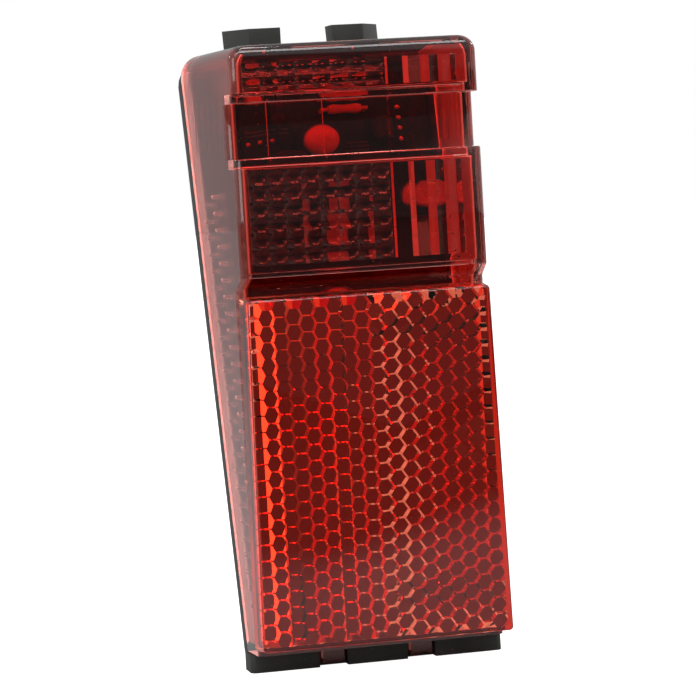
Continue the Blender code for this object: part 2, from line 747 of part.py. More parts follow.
def tab_notches():
    """Notches in the bar, open in front, for the cover's snap tabs."""
    top = LENS_BOTTOM - SEAT_GAP
    notches = []
    for side in (-1.0, 1.0):
        low = (side * TAB_X - TAB_WIDTH / 2.0 - NOTCH_SIDE_GAP, BAR_FRONT - BAR_CORNER,
               top - 2.0 * BAR_HEIGHT)
        high = (side * TAB_X + TAB_WIDTH / 2.0 + NOTCH_SIDE_GAP,
                TAB_FRONT + TAB_THICK + SEAT_GAP, top + BAR_HEIGHT / 4.0)
        notches.append(block(low, high))
    return merged(*notches)


def base_plate(light, rim, material):
    """Black back half: panel, lip, bosses, mounting pad, bottom bar and top lugs."""
    body = plate(base_outline(BASE_INSET), PANEL_FRONT, PAD_BACK)
    base = made_object("base_plate", body, rim, material)
    boolean(base, hidden_shape("base_pockets", base_pockets(), rim), "DIFFERENCE")
    lip = frame_ring(lip_outline(LENS_WALL + SEAT_GAP), lip_outline(LENS_WALL + SEAT_GAP + LIP_THICK),
                     -LIP_HEIGHT, PANEL_FRONT + PANEL_THICK / 2.0)
    boolean(base, hidden_shape("base_lip", lip, rim), "UNION")
    boolean(base, hidden_shape("base_bosses", base_bosses(), rim), "UNION")
    boolean(base, hidden_shape("base_bar", bottom_bar(), light), "UNION")
    boolean(base, hidden_shape("base_lugs", base_lugs(), light), "UNION")
    boolean(base, hidden_shape("base_holes", base_holes(), rim), "DIFFERENCE")
    boolean(base, hidden_shape("hook_pockets", hook_pockets(), light), "DIFFERENCE")
    boolean(base, hidden_shape("tab_notches", tab_notches(), light), "DIFFERENCE")


# Fasteners

def headed_pin(radius, length, head_radius, head_height, steps):
    """Screw or bolt along +Y with its head's underside at y = 0."""
    bevel = head_height / 4.0
    return turned([(head_radius - bevel, -head_height), (head_radius, bevel - head_height),
                   (head_radius, 0.0), (radius, 0.0), (radius, length - bevel),
                   (radius - bevel / 2.0, length)], steps)


def nut_shape():
    """Hexagon nut with a plain bore, six flats sampled like its bore."""
    inner = circle(BOLT_RADIUS + SEAT_GAP, 0.0, NUT_STEPS)
    outer = []
    for k in range(NUT_STEPS):
        angle = 2.0 * math.pi * k / NUT_STEPS
        across = (angle + math.pi / 6.0) % (math.pi / 3.0) - math.pi / 6.0
        radius = NUT_FLAT / math.cos(across)
        outer.append((radius * math.cos(angle), 0.0, radius * math.sin(angle)))
    rings = [outer, [(x, NUT_HEIGHT, z) for x, _, z in outer],
             [(x, NUT_HEIGHT, z) for x, _, z in inner], inner]
    return loft(rings, closed=True)


def mounting_hardware(rim, steel):
    """Two bolts through the base's pad, each with its washer and nut."""
    bolt = headed_pin(BOLT_RADIUS, BOLT_LENGTH, BOLT_HEAD_RADIUS, BOLT_HEAD_HEIGHT, ROUND_STEPS)
    washer_back = PAD_BACK + CLAMP_ROOM + WASHER_THICK
    washer = turned_ring([(WASHER_RADIUS, washer_back - WASHER_THICK), (WASHER_RADIUS, washer_back),
                          (BOLT_RADIUS + SEAT_GAP, washer_back),
                          (BOLT_RADIUS + SEAT_GAP, washer_back - WASHER_THICK)], ROUND_STEPS)
    for place, up in zip(("lower", "upper"), BOLT_UPS):
        made_object(f"mounting_bolt_{place}", bolt, rim, steel, (0.0, PANEL_FRONT - SEAT_GAP, up))
        made_object(f"mounting_washer_{place}", washer, rim, steel, (0.0, 0.0, up))
        made_object(f"mounting_nut_{place}", nut_shape(), rim, steel,
                    (0.0, washer_back + SEAT_GAP, up))


def board_screws(rim, steel):
    """Two screws that hold the circuit board on its bosses."""
    screw = headed_pin(SCREW_RADIUS, SCREW_LENGTH - SEAT_GAP, SCREW_HEAD_RADIUS,
                       SCREW_HEAD_HEIGHT, SMALL_STEPS)
    for place, (x, up) in zip(("upper", "lower"), SCREW_UPS):
        made_object(f"board_screw_{place}", screw, rim, steel, (x, PART_SEAT, up))


# Circuit board and its components

def circuit_board(rim, material):
    """Board with round corners and two screw holes."""
    outline = trapezoid(BOARD_HALF, BOARD_HALF, BOARD_LOW, BOARD_HIGH, BOARD_CORNER)
    board = made_object("circuit_board", plate(outline, BOARD_FRONT, BOARD_BACK), rim, material)
    holes = [hole(x, up, SCREW_RADIUS + SEAT_GAP, BOARD_FRONT - BOARD_THICK,
                  BOARD_BACK + BOARD_THICK, SMALL_STEPS) for x, up in SCREW_UPS]
    boolean(board, hidden_shape("board_holes", merged(*holes), rim), "DIFFERENCE")


def led_and_holder(light, rim, epoxy, plastic):
    """LED aimed level through the window, in a collar that stands on the leaning board."""
    profile = []
    for k in range(ARC_STEPS + 1):
        angle = LED_TIP_ANGLE + (math.pi / 2.0 - LED_TIP_ANGLE) * k / ARC_STEPS
        profile.append((LED_RADIUS * math.sin(angle), -LED_RADIUS * math.cos(angle)))
    profile.append((LED_RADIUS, LED_STEM))
    profile.append((LED_RADIUS + LED_FLANGE, LED_STEM))
    profile.append((LED_RADIUS + LED_FLANGE, LED_STEM + LED_FLANGE))
    lamp = turned(profile, ROUND_STEPS)
    made_object("led", lamp, light, epoxy, (LED_X, HOLDER_FRONT, LED_HEIGHT))
    bore = LED_RADIUS + LED_FLANGE + SEAT_GAP
    seat = LED_STEM + LED_FLANGE + SEAT_GAP
    far = rim_depth(LED_HEIGHT) - HOLDER_FRONT
    holder = loft([circle(radius, y, ROUND_STEPS) for radius, y in
                   ((bore - LED_FLANGE, 0.0), (HOLDER_RADIUS, 0.0), (HOLDER_RADIUS, far),
                    (LED_RADIUS / 2.0, far), (LED_RADIUS / 2.0, seat), (bore, seat),
                    (bore, LED_STEM - SEAT_GAP), (bore - LED_FLANGE, LED_STEM - SEAT_GAP))],
                  closed=True)
    collar = made_object("led_holder", holder, light, plastic, (LED_X, HOLDER_FRONT, LED_HEIGHT))
    behind = block((-BOARD_HALF, PART_SEAT, BOARD_LOW - BOARD_HALF),
                   (BOARD_HALF, PAD_BACK + BOARD_HALF, BOARD_HIGH + BOARD_HALF))
    boolean(collar, hidden_shape("board_room", behind, rim), "DIFFERENCE")


def standlight_capacitor(rim, material):
    """Round can that keeps the LED lit at a stop, with a rolled edge and a groove."""
    edge = CAPACITOR_RADIUS / 10.0
    neck = CAPACITOR_HEIGHT / 5.0
    profile = [(CAPACITOR_RADIUS - edge, -CAPACITOR_HEIGHT),
               (CAPACITOR_RADIUS, edge - CAPACITOR_HEIGHT), (CAPACITOR_RADIUS, -neck - edge),
               (CAPACITOR_RADIUS - edge, -neck), (CAPACITOR_RADIUS, edge - neck),
               (CAPACITOR_RADIUS, 0.0)]
    made_object("standlight_capacitor", turned(profile, ROUND_STEPS), rim, material,
                (CAPACITOR_X, PART_SEAT, BOARD_MIDDLE + CAPACITOR_OVER))


def bridge_rectifier(rim, material):
    """Moulded black block with four bent feet."""
    place = (RECTIFIER_X, PART_SEAT, BOARD_MIDDLE + RECTIFIER_OVER)
    foot = RECTIFIER_DEPTH / 3.0
    case = block((-RECTIFIER_WIDTH / 2.0, -RECTIFIER_DEPTH, -RECTIFIER_HEIGHT / 2.0),
                 (RECTIFIER_WIDTH / 2.0, -foot / 2.0, RECTIFIER_HEIGHT / 2.0))
    body = made_object("bridge_rectifier", case, rim, material, place)
    feet = []
    for x in (-RECTIFIER_WIDTH / 3.0, RECTIFIER_WIDTH / 3.0):
        for side in (-1.0, 1.0):
            inner = side * RECTIFIER_HEIGHT / 3.0
            outer = side * (RECTIFIER_HEIGHT / 2.0 + foot)
            feet.append(block((x - foot / 2.0, -foot, min(inner, outer)),
                              (x + foot / 2.0, 0.0, max(inner, outer))))
    boolean(body, hidden_shape("rectifier_feet", merged(*feet), rim, place), "UNION")


def voltage_regulator(rim, material):
    """Half-round transistor case standing on the board."""
    outline = [(-REGULATOR_WIDTH / 2.0, 0.0), (REGULATOR_WIDTH / 2.0, 0.0)]
    for k in range(2 * ARC_STEPS + 1):
        angle = REGULATOR_FLAT + (math.pi - 2.0 * REGULATOR_FLAT) * k / (2 * ARC_STEPS)
        outline.append((REGULATOR_WIDTH / 2.0 * math.cos(angle) / math.cos(REGULATOR_FLAT),
                        -REGULATOR_DEPTH * math.sin(angle)))
    rings = [[(x, y, z) for x, y in outline] for z in (0.0, REGULATOR_HEIGHT)]
    made_object("voltage_regulator", loft(rings), rim, material,
                (REGULATOR_X, PART_SEAT, BOARD_MIDDLE + REGULATOR_OVER - REGULATOR_HEIGHT / 2.0))


def axial_part(radius, length):
    """Round body along X with a waist, on two leads bent down to the board."""
    end = radius * AXIAL_WAIST
    axis_y = -AXIAL_STAND - radius
    reach = length / 2.0 + AXIAL_BEND
    body_points, body_faces = turned([(end, -length / 2.0), (radius, end - length / 2.0),
                                      (end, 0.0), (radius, length / 2.0 - end),
                                      (end, length / 2.0)], SMALL_STEPS)
    body = [(y, axis_y + x, z) for x, y, z in body_points], body_faces
    wire = block((-reach, axis_y - AXIAL_LEAD, -AXIAL_LEAD), (reach, axis_y + AXIAL_LEAD, AXIAL_LEAD))
    legs = merged(*[block((side * reach - AXIAL_LEAD, axis_y - AXIAL_LEAD, -AXIAL_LEG),
                          (side * reach + AXIAL_LEAD, 0.0, AXIAL_LEG))
                    for side in (-1.0, 1.0)])
    return body, wire, legs


def axial_component(name, rim, material, radius, length, place, upright=False):
    """Adds one resistor or diode with its leads as a single solid."""
    body, wire, legs = axial_part(radius, length)
    turn = math.radians(90.0) if upright else 0.0
    part = made_object(name, body, rim, material, place)
    wires = hidden_shape(f"{name}_wire", wire, rim, place)
    feet = hidden_shape(f"{name}_legs", legs, rim, place)
    for obj in (part, wires, feet):
        obj.rotation_euler = (0.0, turn, 0.0)
    boolean(part, wires, "UNION")
    boolean(part, feet, "UNION")


def terminals(rim, material):
    """Two flat blades that stand on the board and reach down past its lower edge."""
    outline = [(0.0, TERMINAL_FOOT), (0.0, 0.0), (-TERMINAL_STEP, -TERMINAL_STEP),
               (-TERMINAL_STEP, -TERMINAL_REACH), (-TERMINAL_STEP - TERMINAL_THICK, -TERMINAL_REACH),
               (-TERMINAL_STEP - TERMINAL_THICK, -TERMINAL_STEP),
               (-TERMINAL_THICK, TERMINAL_THICK / 2.0), (-TERMINAL_THICK, TERMINAL_FOOT)]
    shape = loft([[(x, y, z) for y, z in outline]
                  for x in (-TERMINAL_WIDTH / 2.0, TERMINAL_WIDTH / 2.0)])
    for name, side in (("terminal_live", -1.0), ("terminal_earth", 1.0)):
        made_object(name, shape, rim, material, (side * TERMINAL_X, PART_SEAT, BOARD_LOW))


def build_light():
    """Makes every piece of the rear light."""
    lens_red = finish("lens_red", (0.62, 0.03, 0.02), 0.08, clear=0.7)
    reflector_red = finish("reflector_red", (0.72, 0.05, 0.02), 0.10, clear=0.6)
    base_black = finish("base_black", (0.028, 0.030, 0.028), 0.45)
    board_green = finish("board_green", (0.01, 0.06, 0.03), 0.40)
    steel = finish("zinc_steel", (0.62, 0.62, 0.60), 0.30, metallic=1.0)
    can_sleeve = finish("can_sleeve", (0.03, 0.03, 0.035), 0.35)
    epoxy_black = finish("epoxy_black", (0.02, 0.02, 0.02), 0.35)
    led_milky = finish("led_milky", (0.90, 0.45, 0.38), 0.15)
    holder_black = finish("holder_black", (0.025, 0.025, 0.025), 0.45)
    resistor_tan = finish("resistor_tan", (0.60, 0.42, 0.22), 0.40)
    tinned = finish("tinned", (0.75, 0.74, 0.70), 0.25, metallic=1.0)

    mount = Vector(rim_point(0.0, PAD_BACK, MOUNT_UP))
    light = empty("light_frame", location=-mount)
    rim = empty("rim_frame", light, (0.0, RIM_DEPTH, 0.0), MOUNT_LEAN)
    hinge = empty("cover_hinge", light, (0.0, rim_depth(LENS_HEIGHT), LENS_HEIGHT))

    lens_cover(hinge, lens_red)
    reflector_plate(hinge, reflector_red)
    base_plate(light, rim, base_black)
    mounting_hardware(rim, steel)
    circuit_board(rim, board_green)
    board_screws(rim, steel)
    led_and_holder(light, rim, led_milky, holder_black)
    standlight_capacitor(rim, can_sleeve)
    bridge_rectifier(rim, epoxy_black)
    voltage_regulator(rim, epoxy_black)
    for name, offset in (("resistor_lower", 0.0), ("resistor_upper", RESISTOR_STEP)):
        axial_component(name, rim, resistor_tan, RESISTOR_RADIUS, RESISTOR_LENGTH,
                        (RESISTOR_X, PART_SEAT, BOARD_MIDDLE + RESISTOR_OVER + offset))
    axial_component("diode", rim, epoxy_black, DIODE_RADIUS, DIODE_LENGTH,
                    (DIODE_X, PART_SEAT, BOARD_MIDDLE + DIODE_OVER), upright=True)
    terminals(rim, tinned)


for old in list(bpy.data.objects):
    bpy.data.objects.remove(old)
build_light()
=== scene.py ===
"""Looks of a bicycle rear light: clear red lens and reflector, black base, LED board.

Sizes are in metres in the front frame, where the reflector's face lies at y = 0 and
its bottom edge at z = 0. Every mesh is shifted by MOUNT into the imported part's frame.
"""

import logging
import math
from collections.abc import Iterator, Sequence
from contextlib import contextmanager
from dataclasses import dataclass, field
from enum import Enum
from functools import cache

import bmesh
import bpy
from mathutils import Matrix, Vector

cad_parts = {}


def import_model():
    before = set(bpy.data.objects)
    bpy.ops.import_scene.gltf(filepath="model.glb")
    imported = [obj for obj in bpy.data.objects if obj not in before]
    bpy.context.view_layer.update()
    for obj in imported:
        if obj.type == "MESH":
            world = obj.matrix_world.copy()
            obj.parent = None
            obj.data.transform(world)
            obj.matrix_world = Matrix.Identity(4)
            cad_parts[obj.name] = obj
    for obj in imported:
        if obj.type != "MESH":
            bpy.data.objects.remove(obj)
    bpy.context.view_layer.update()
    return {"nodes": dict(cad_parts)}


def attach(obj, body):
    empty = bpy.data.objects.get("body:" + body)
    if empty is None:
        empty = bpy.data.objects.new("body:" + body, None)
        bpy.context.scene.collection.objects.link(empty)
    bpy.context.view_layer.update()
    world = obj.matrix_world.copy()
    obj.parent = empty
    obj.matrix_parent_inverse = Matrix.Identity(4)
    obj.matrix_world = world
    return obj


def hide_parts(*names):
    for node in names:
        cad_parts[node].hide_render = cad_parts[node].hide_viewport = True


LOG = logging.getLogger("rear_light")
MOUNT = Vector((0.0, 0.0286497, 0.0358577))
SATIN = "satin"
SIDES = (-1.0, 1.0)
WELD = 2e-6
FLAT_ANGLE = math.radians(0.3)
SHARP_ANGLE = math.radians(30.0)
BEVEL_ANGLE = math.radians(40.0)
ROUND_STEPS = 3

Point = tuple[float, float, float]
Colour = tuple[float, float, float]
Loop = list[Point]
Shape = tuple[Loop, list[tuple[int, ...]]]


class Body(Enum):
    """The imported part's two bodies."""

    BASE = "base"
    COVER = "cover"


class Joining(Enum):
    """How one solid is worked into another."""

    CUT = "DIFFERENCE"
    ADD = "UNION"
    KEEP = "INTERSECT"


# Mesh helpers

def loft(rings: Sequence[Loop]) -> Shape:
    """Skin between loops of equal length, with a cap at either end.

    Args:
        rings: the loops in order.

    Returns:
        Points and faces.
    """
    count = len(rings[0])
    points = [tuple(point) for ring in rings for point in ring]
    faces: list[tuple[int, ...]] = []
    for low in range(0, len(points) - count, count):
        for k in range(count):
            after = (k + 1) % count
            faces.append((low + k, low + after, low + count + after, low + count + k))
    faces.append(tuple(range(count)))
    faces.append(tuple(range(len(points) - count, len(points))))
    return points, faces


def upright(outline: Sequence[tuple[float, float]], low_z: float, high_z: float) -> Shape:
    """Prism that stands on an outline of (x, y) points, between two heights."""
    return loft([[(x, y, z) for x, y in outline] for z in (low_z, high_z)])


def merged(shapes: Sequence[Shape]) -> Shape:
    """Several shapes as one list of points and faces.

    Args:
        shapes: shapes that don't touch.

    Returns:
        Points and faces.
    """
    points: Loop = []
    faces: list[tuple[int, ...]] = []
    for some_points, some_faces in shapes:
        start = len(points)
        points.extend(some_points)
        faces.extend(tuple(index + start for index in face) for face in some_faces)
    return points, faces


def block(low: Point, high: Point) -> Shape:
    """Box between its lowest and its highest corner."""
    return loft([[(low[0], y, low[2]), (high[0], y, low[2]), (high[0], y, high[2]),
                  (low[0], y, high[2])] for y in (low[1], high[1])])


def added(name: str, data: bpy.types.ID) -> bpy.types.Object:
    """Put an object into the scene.

    Args:
        name: its name.
        data: its mesh, lamp or camera.

    Returns:
        The object.
    """
    obj = bpy.data.objects.new(name, data)
    bpy.context.scene.collection.objects.link(obj)
    return obj


@contextmanager
def editing(mesh: bpy.types.Mesh) -> Iterator[bmesh.types.BMesh]:
    """Edit a mesh in place.

    Args:
        mesh: the mesh, which takes the changes at the end.

    Yields:
        The editable mesh.
    """
    shell = bmesh.new()
    shell.from_mesh(mesh)
    yield shell
    shell.to_mesh(mesh)
    shell.free()


def solid(name: str, shape: Shape) -> bpy.types.Object:
    """Add a closed mesh object with outward faces.

    Args:
        name: the object's name.
        shape: its points and faces.

    Returns:
        The object.
    """
    mesh = bpy.data.meshes.new(name)
    mesh.from_pydata(shape[0], [], shape[1])
    with editing(mesh) as shell:
        bmesh.ops.recalc_face_normals(shell, faces=shell.faces)
    return added(name, mesh)


def freeze(target: bpy.types.Object) -> None:
    """Turn an object's modifiers into a plain mesh.

    Args:
        target: the object.
    """
    bpy.context.view_layer.update()
    graph = bpy.context.evaluated_depsgraph_get()
    mesh = bpy.data.meshes.new_from_object(target.evaluated_get(graph))
    target.modifiers.clear()
    target.data = mesh
    mesh.name = target.name


def join(target: bpy.types.Object, tool: bpy.types.Object, how: Joining) -> None:
    """Work one solid into another and drop the tool.

    Args:
        target: the solid that changes.
        tool: the other solid.
        how: cut, add or keep the overlap.
    """
    modifier = target.modifiers.new(tool.name, "BOOLEAN")
    modifier.operation = how.value
    modifier.solver = "EXACT"
    modifier.object = tool
    freeze(target)
    bpy.data.objects.remove(tool)


def close_to_depth(shell: bmesh.types.BMesh, depth: float) -> None:
    """Run an open sheet's border to a flat face at a depth.

    Args:
        shell: the sheet.
        depth: the flat face's y.
    """
    border = [edge for edge in shell.edges if edge.is_boundary]
    grown = bmesh.ops.extrude_edge_only(shell, edges=border)["geom"]
    added_verts = [item for item in grown if isinstance(item, bmesh.types.BMVert)]
    for vert in added_verts:
        vert.co.y = depth
    bmesh.ops.remove_doubles(shell, verts=added_verts, dist=WELD)
    rest = [edge for edge in shell.edges if edge.is_boundary]
    bmesh.ops.contextual_create(shell, geom=rest)
    bmesh.ops.recalc_face_normals(shell, faces=shell.faces)


def show(obj: bpy.types.Object, body: Body, material: bpy.types.Material,
         nodes: Sequence[str] = (), shift: bool = True) -> bpy.types.Object:
    """Finish a piece: place, shading, material, and the CAD nodes it stands for.

    Args:
        obj: the piece.
        body: the body it rides on.
        material: its finish.
        nodes: CAD nodes that it replaces.
        shift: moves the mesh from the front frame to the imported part's frame.

    Returns:
        The piece.
    """
    mesh = obj.data
    if shift:
        mesh.transform(Matrix.Translation(-MOUNT))
    mesh.shade_smooth()
    mesh.set_sharp_from_angle(angle=SHARP_ANGLE)
    mesh.materials.clear()
    mesh.materials.append(material)
    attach(obj, body.value)
    if nodes:
        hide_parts(*nodes)
    return obj


def dress(name: str, material: bpy.types.Material) -> None:
    """Give a CAD node a finish.

    Args:
        name: the CAD node.
        material: its finish.
    """
    node = bpy.data.objects[name]
    node.data.materials.clear()
    node.data.materials.append(material)


def merged_copy(name: str, copy_name: str) -> bpy.types.Object:
    """Copy a CAD node's loose triangles as one welded mesh.

    Args:
        name: the CAD node.
        copy_name: the new object's name.

    Returns:
        The copy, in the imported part's frame.
    """
    welded = bmesh.new()
    welded.from_mesh(bpy.data.objects[name].data)
    bmesh.ops.remove_doubles(welded, verts=welded.verts, dist=WELD)
    welded.verts.index_update()
    shape = ([tuple(vert.co) for vert in welded.verts],
             [tuple(vert.index for vert in face.verts) for face in welded.faces])
    welded.free()
    copy = solid(copy_name, shape)
    with editing(copy.data) as shell:
        shell.normal_update()
        bmesh.ops.dissolve_limit(shell, angle_limit=FLAT_ANGLE, verts=shell.verts,
                                 edges=shell.edges)
    return copy


def rounded(corners: Sequence[Point]) -> list[tuple[float, float]]:
    """Profile with its corners turned into arcs.

    Args:
        corners: (u, v, radius) in order; the two ends keep their corner.

    Returns:
        Points (u, v).
    """
    profile = [corners[0][:2]]
    for before, here, after in zip(corners, corners[1:], corners[2:]):
        corner = Vector(here[:2])
        one = (Vector(before[:2]) - corner).normalized()
        two = (Vector(after[:2]) - corner).normalized()
        half_angle = one.angle(two) / 2.0
        start = corner + one * here[2] / math.tan(half_angle)
        end = corner + two * here[2] / math.tan(half_angle)
        for k in range(ROUND_STEPS + 1):
            t = k / ROUND_STEPS
            point = start * (1 - t) ** 2 + corner * 2 * t * (1 - t) + end * t ** 2
            profile.append((point.x, point.y))
    profile.append(corners[-1][:2])
    return profile


# Node trees

class Nodes:
    """A node tree and a short way to lay nodes in it."""

    def __init__(self, tree: bpy.types.NodeTree) -> None:
        """Take the tree that the nodes go into."""
        self.tree = tree

    @classmethod
    def group(cls, name: str, kind: str, inputs: Sequence[tuple[str, str]],
              output: tuple[str, str]) -> "Nodes":
        """Start a node group.

        Args:
            name: the group's name.
            kind: the tree's type.
            inputs: names and types of the inputs.
            output: name and type of the one output.

        Returns:
            The group.
        """
        tree = bpy.data.node_groups.new(name, kind)
        for label, data in inputs:
            tree.interface.new_socket(label, in_out="INPUT", socket_type=f"NodeSocket{data}")
        tree.interface.new_socket(output[0], in_out="OUTPUT", socket_type=f"NodeSocket{output[1]}")
        return cls(tree)

    def feed(self, node: bpy.types.Node, feeds: dict[str | int, object]) -> None:
        """Link or set a node's inputs.

        Args:
            node: the node.
            feeds: sockets or plain values, by the input's name or number.
        """
        for place, value in feeds.items():
            if isinstance(value, bpy.types.NodeSocket):
                self.tree.links.new(value, node.inputs[place])
            else:
                node.inputs[place].default_value = value

    def lay(self, kind: str, feeds: dict[str | int, object] | None = None,
            **settings: object) -> bpy.types.Node:
        """Add a node.

        Args:
            kind: its type.
            feeds: sockets or plain values for its inputs.
            **settings: its own settings.

        Returns:
            The node.
        """
        node = self.tree.nodes.new(kind)
        for name, value in settings.items():
            setattr(node, name, value)
        self.feed(node, feeds or {})
        return node

    def maths(self, operation: str, *feeds: object) -> bpy.types.NodeSocket:
        """Result of a Math node fed by sockets or numbers."""
        return self.lay("ShaderNodeMath", dict(enumerate(feeds)), operation=operation).outputs[0]

    def seen(self) -> bpy.types.NodeSocket:
        """Socket that is 1 for what the camera sees itself."""
        return self.lay("ShaderNodeLightPath").outputs["Is Camera Ray"]


class Trees:
    """Geometry node trees that lay out what repeats, each built once."""

    @staticmethod
    def finished(nodes: Nodes, geometry: bpy.types.NodeSocket,
                 material: bpy.types.NodeSocket) -> bpy.types.NodeTree:
        """End a tree with real copies that carry a material.

        Args:
            nodes: the tree.
            geometry: what it made.
            material: the material's socket.

        Returns:
            The tree.
        """
        real = nodes.lay("GeometryNodeRealizeInstances", {"Geometry": geometry})
        paint = nodes.lay("GeometryNodeSetMaterial",
                          {"Geometry": real.outputs["Geometry"], "Material": material})
        nodes.lay("NodeGroupOutput", {"Geometry": paint.outputs["Geometry"]})
        return nodes.tree

    @staticmethod
    @cache
    def row() -> bpy.types.NodeTree:
        """Build the tree that repeats a mesh along a line.

        Returns:
            The tree, with inputs Geometry, Count, Step and Material.
        """
        nodes = Nodes.group("row", "GeometryNodeTree",
                            (("Geometry", "Geometry"), ("Count", "Int"), ("Step", "Vector"),
                             ("Material", "Material")), ("Geometry", "Geometry"))
        given = nodes.lay("NodeGroupInput").outputs
        line = nodes.lay("GeometryNodeMeshLine", {"Count": given["Count"], "Offset": given["Step"]})
        copies = nodes.lay("GeometryNodeInstanceOnPoints",
                           {"Points": line.outputs["Mesh"], "Instance": given["Geometry"]})
        return Trees.finished(nodes, copies.outputs["Instances"], given["Material"])

    @staticmethod
    @cache
    def pillows() -> bpy.types.NodeTree:
        """Build the tree that makes a sheet of shallow domed tiles.

        Returns:
            The tree, with inputs Width, Height, Rise, Columns, Rows, Fineness and Material.
        """
        nodes = Nodes.group("pillows", "GeometryNodeTree",
                            (("Geometry", "Geometry"), ("Width", "Float"), ("Height", "Float"),
                             ("Rise", "Float"), ("Columns", "Int"), ("Rows", "Int"),
                             ("Fineness", "Int"), ("Material", "Material")),
                            ("Geometry", "Geometry"))
        given = nodes.lay("NodeGroupInput").outputs
        maths = nodes.maths
        across, along = (maths("ADD", maths("MULTIPLY", given[tiles], given["Fineness"]), 1.0)
                         for tiles in ("Columns", "Rows"))
        grid = nodes.lay("GeometryNodeMeshGrid", {"Size X": given["Width"],
                                                  "Size Y": given["Height"],
                                                  "Vertices X": across, "Vertices Y": along})
        place = nodes.lay("GeometryNodeInputPosition")
        split = nodes.lay("ShaderNodeSeparateXYZ", {0: place.outputs[0]})
        falls = []
        for axis, size, tiles in (("X", "Width", "Columns"), ("Y", "Height", "Rows")):
            share = maths("ADD", maths("DIVIDE", split.outputs[axis], given[size]), 0.5)
            tile = maths("FRACT", maths("MULTIPLY", share, given[tiles]))
            away = maths("SUBTRACT", maths("MULTIPLY", tile, 2.0), 1.0)
            falls.append(maths("MULTIPLY", away, away))
        fall = maths("MULTIPLY", maths("ADD", *falls), 0.5)
        rise = maths("MULTIPLY", maths("SUBTRACT", 1.0, fall), given["Rise"])
        lift = nodes.lay("ShaderNodeCombineXYZ", {"Z": rise})
        move = nodes.lay("GeometryNodeSetPosition",
                         {"Geometry": grid.outputs["Mesh"], "Offset": lift.outputs[0]})
        return Trees.finished(nodes, move.outputs["Geometry"], given["Material"])

    @staticmethod
    def run(obj: bpy.types.Object, tree: bpy.types.NodeTree,
            values: dict[str, object]) -> bpy.types.Object:
        """Run a tree on an object and keep the result as a plain mesh.

        Args:
            obj: the object it starts from.
            tree: the tree.
            values: input values by name.

        Returns:
            The same object with its new mesh.
        """
        modifier = obj.modifiers.new(tree.name, "NODES")
        modifier.node_group = tree
        for item in tree.interface.items_tree:
            if item.in_out == "INPUT" and item.name in values:
                modifier[item.identifier] = values[item.name]
        freeze(obj)
        return obj


def repeated(name: str, shape: Shape, count: int, step: Point,
             material: bpy.types.Material) -> bpy.types.Object:
    """Repeat a shape along a line.

    Args:
        name: the object's name.
        shape: points and faces of the first copy.
        count: how many.
        step: from one copy to the next.
        material: the copies' finish.

    Returns:
        One object with all copies.
    """
    return Trees.run(solid(name, shape), Trees.row(),
                     {"Count": count, "Step": step, "Material": material})


# Finishes

class Groups:
    """Shader node groups that several finishes share, each built once."""

    @staticmethod
    @cache
    def mottle() -> bpy.types.NodeTree:
        """Soft cloudy variation from 0 to 1.

        Returns:
            The group, with input Scale and output Value.
        """
        nodes = Nodes.group("mottle", "ShaderNodeTree", (("Scale", "Float"),), ("Value", "Float"))
        given = nodes.lay("NodeGroupInput").outputs
        where = nodes.lay("ShaderNodeTexCoord").outputs["Object"]
        noise = nodes.lay("ShaderNodeTexNoise",
                          {"Vector": where, "Scale": given["Scale"], "Detail": 3.0})
        spread = nodes.lay("ShaderNodeMapRange", {"Value": noise.outputs["Fac"],
                                                  "From Min": 0.3, "From Max": 0.7})
        nodes.lay("NodeGroupOutput", {"Value": spread.outputs["Result"]})
        return nodes.tree

    @staticmethod
    @cache
    def dust() -> bpy.types.NodeTree:
        """Sparse fine specks as a mask.

        Returns:
            The group, with inputs Scale and Amount and output Mask.
        """
        nodes = Nodes.group("dust", "ShaderNodeTree", (("Scale", "Float"), ("Amount", "Float")),
                            ("Mask", "Float"))
        given = nodes.lay("NodeGroupInput").outputs
        where = nodes.lay("ShaderNodeTexCoord").outputs["Object"]
        cells = nodes.lay("ShaderNodeTexVoronoi", {"Vector": where, "Scale": given["Scale"]})
        patch = nodes.lay("ShaderNodeTexNoise", {"Vector": where, "Scale": 90.0})
        near = nodes.maths("LESS_THAN", cells.outputs["Distance"], given["Amount"])
        some = nodes.maths("GREATER_THAN", patch.outputs["Fac"], 0.56)
        nodes.lay("NodeGroupOutput", {"Mask": nodes.maths("MULTIPLY", near, some)})
        return nodes.tree

    @staticmethod
    @cache
    def grain() -> bpy.types.NodeTree:
        """Fine moulded grain as a height.

        Returns:
            The group, with input Scale and output Height.
        """
        nodes = Nodes.group("grain", "ShaderNodeTree", (("Scale", "Float"),), ("Height", "Float"))
        given = nodes.lay("NodeGroupInput").outputs
        where = nodes.lay("ShaderNodeTexCoord").outputs["Object"]
        noise = nodes.lay("ShaderNodeTexNoise",
                          {"Vector": where, "Scale": given["Scale"], "Detail": 2.0})
        nodes.lay("NodeGroupOutput", {"Height": noise.outputs["Fac"]})
        return nodes.tree


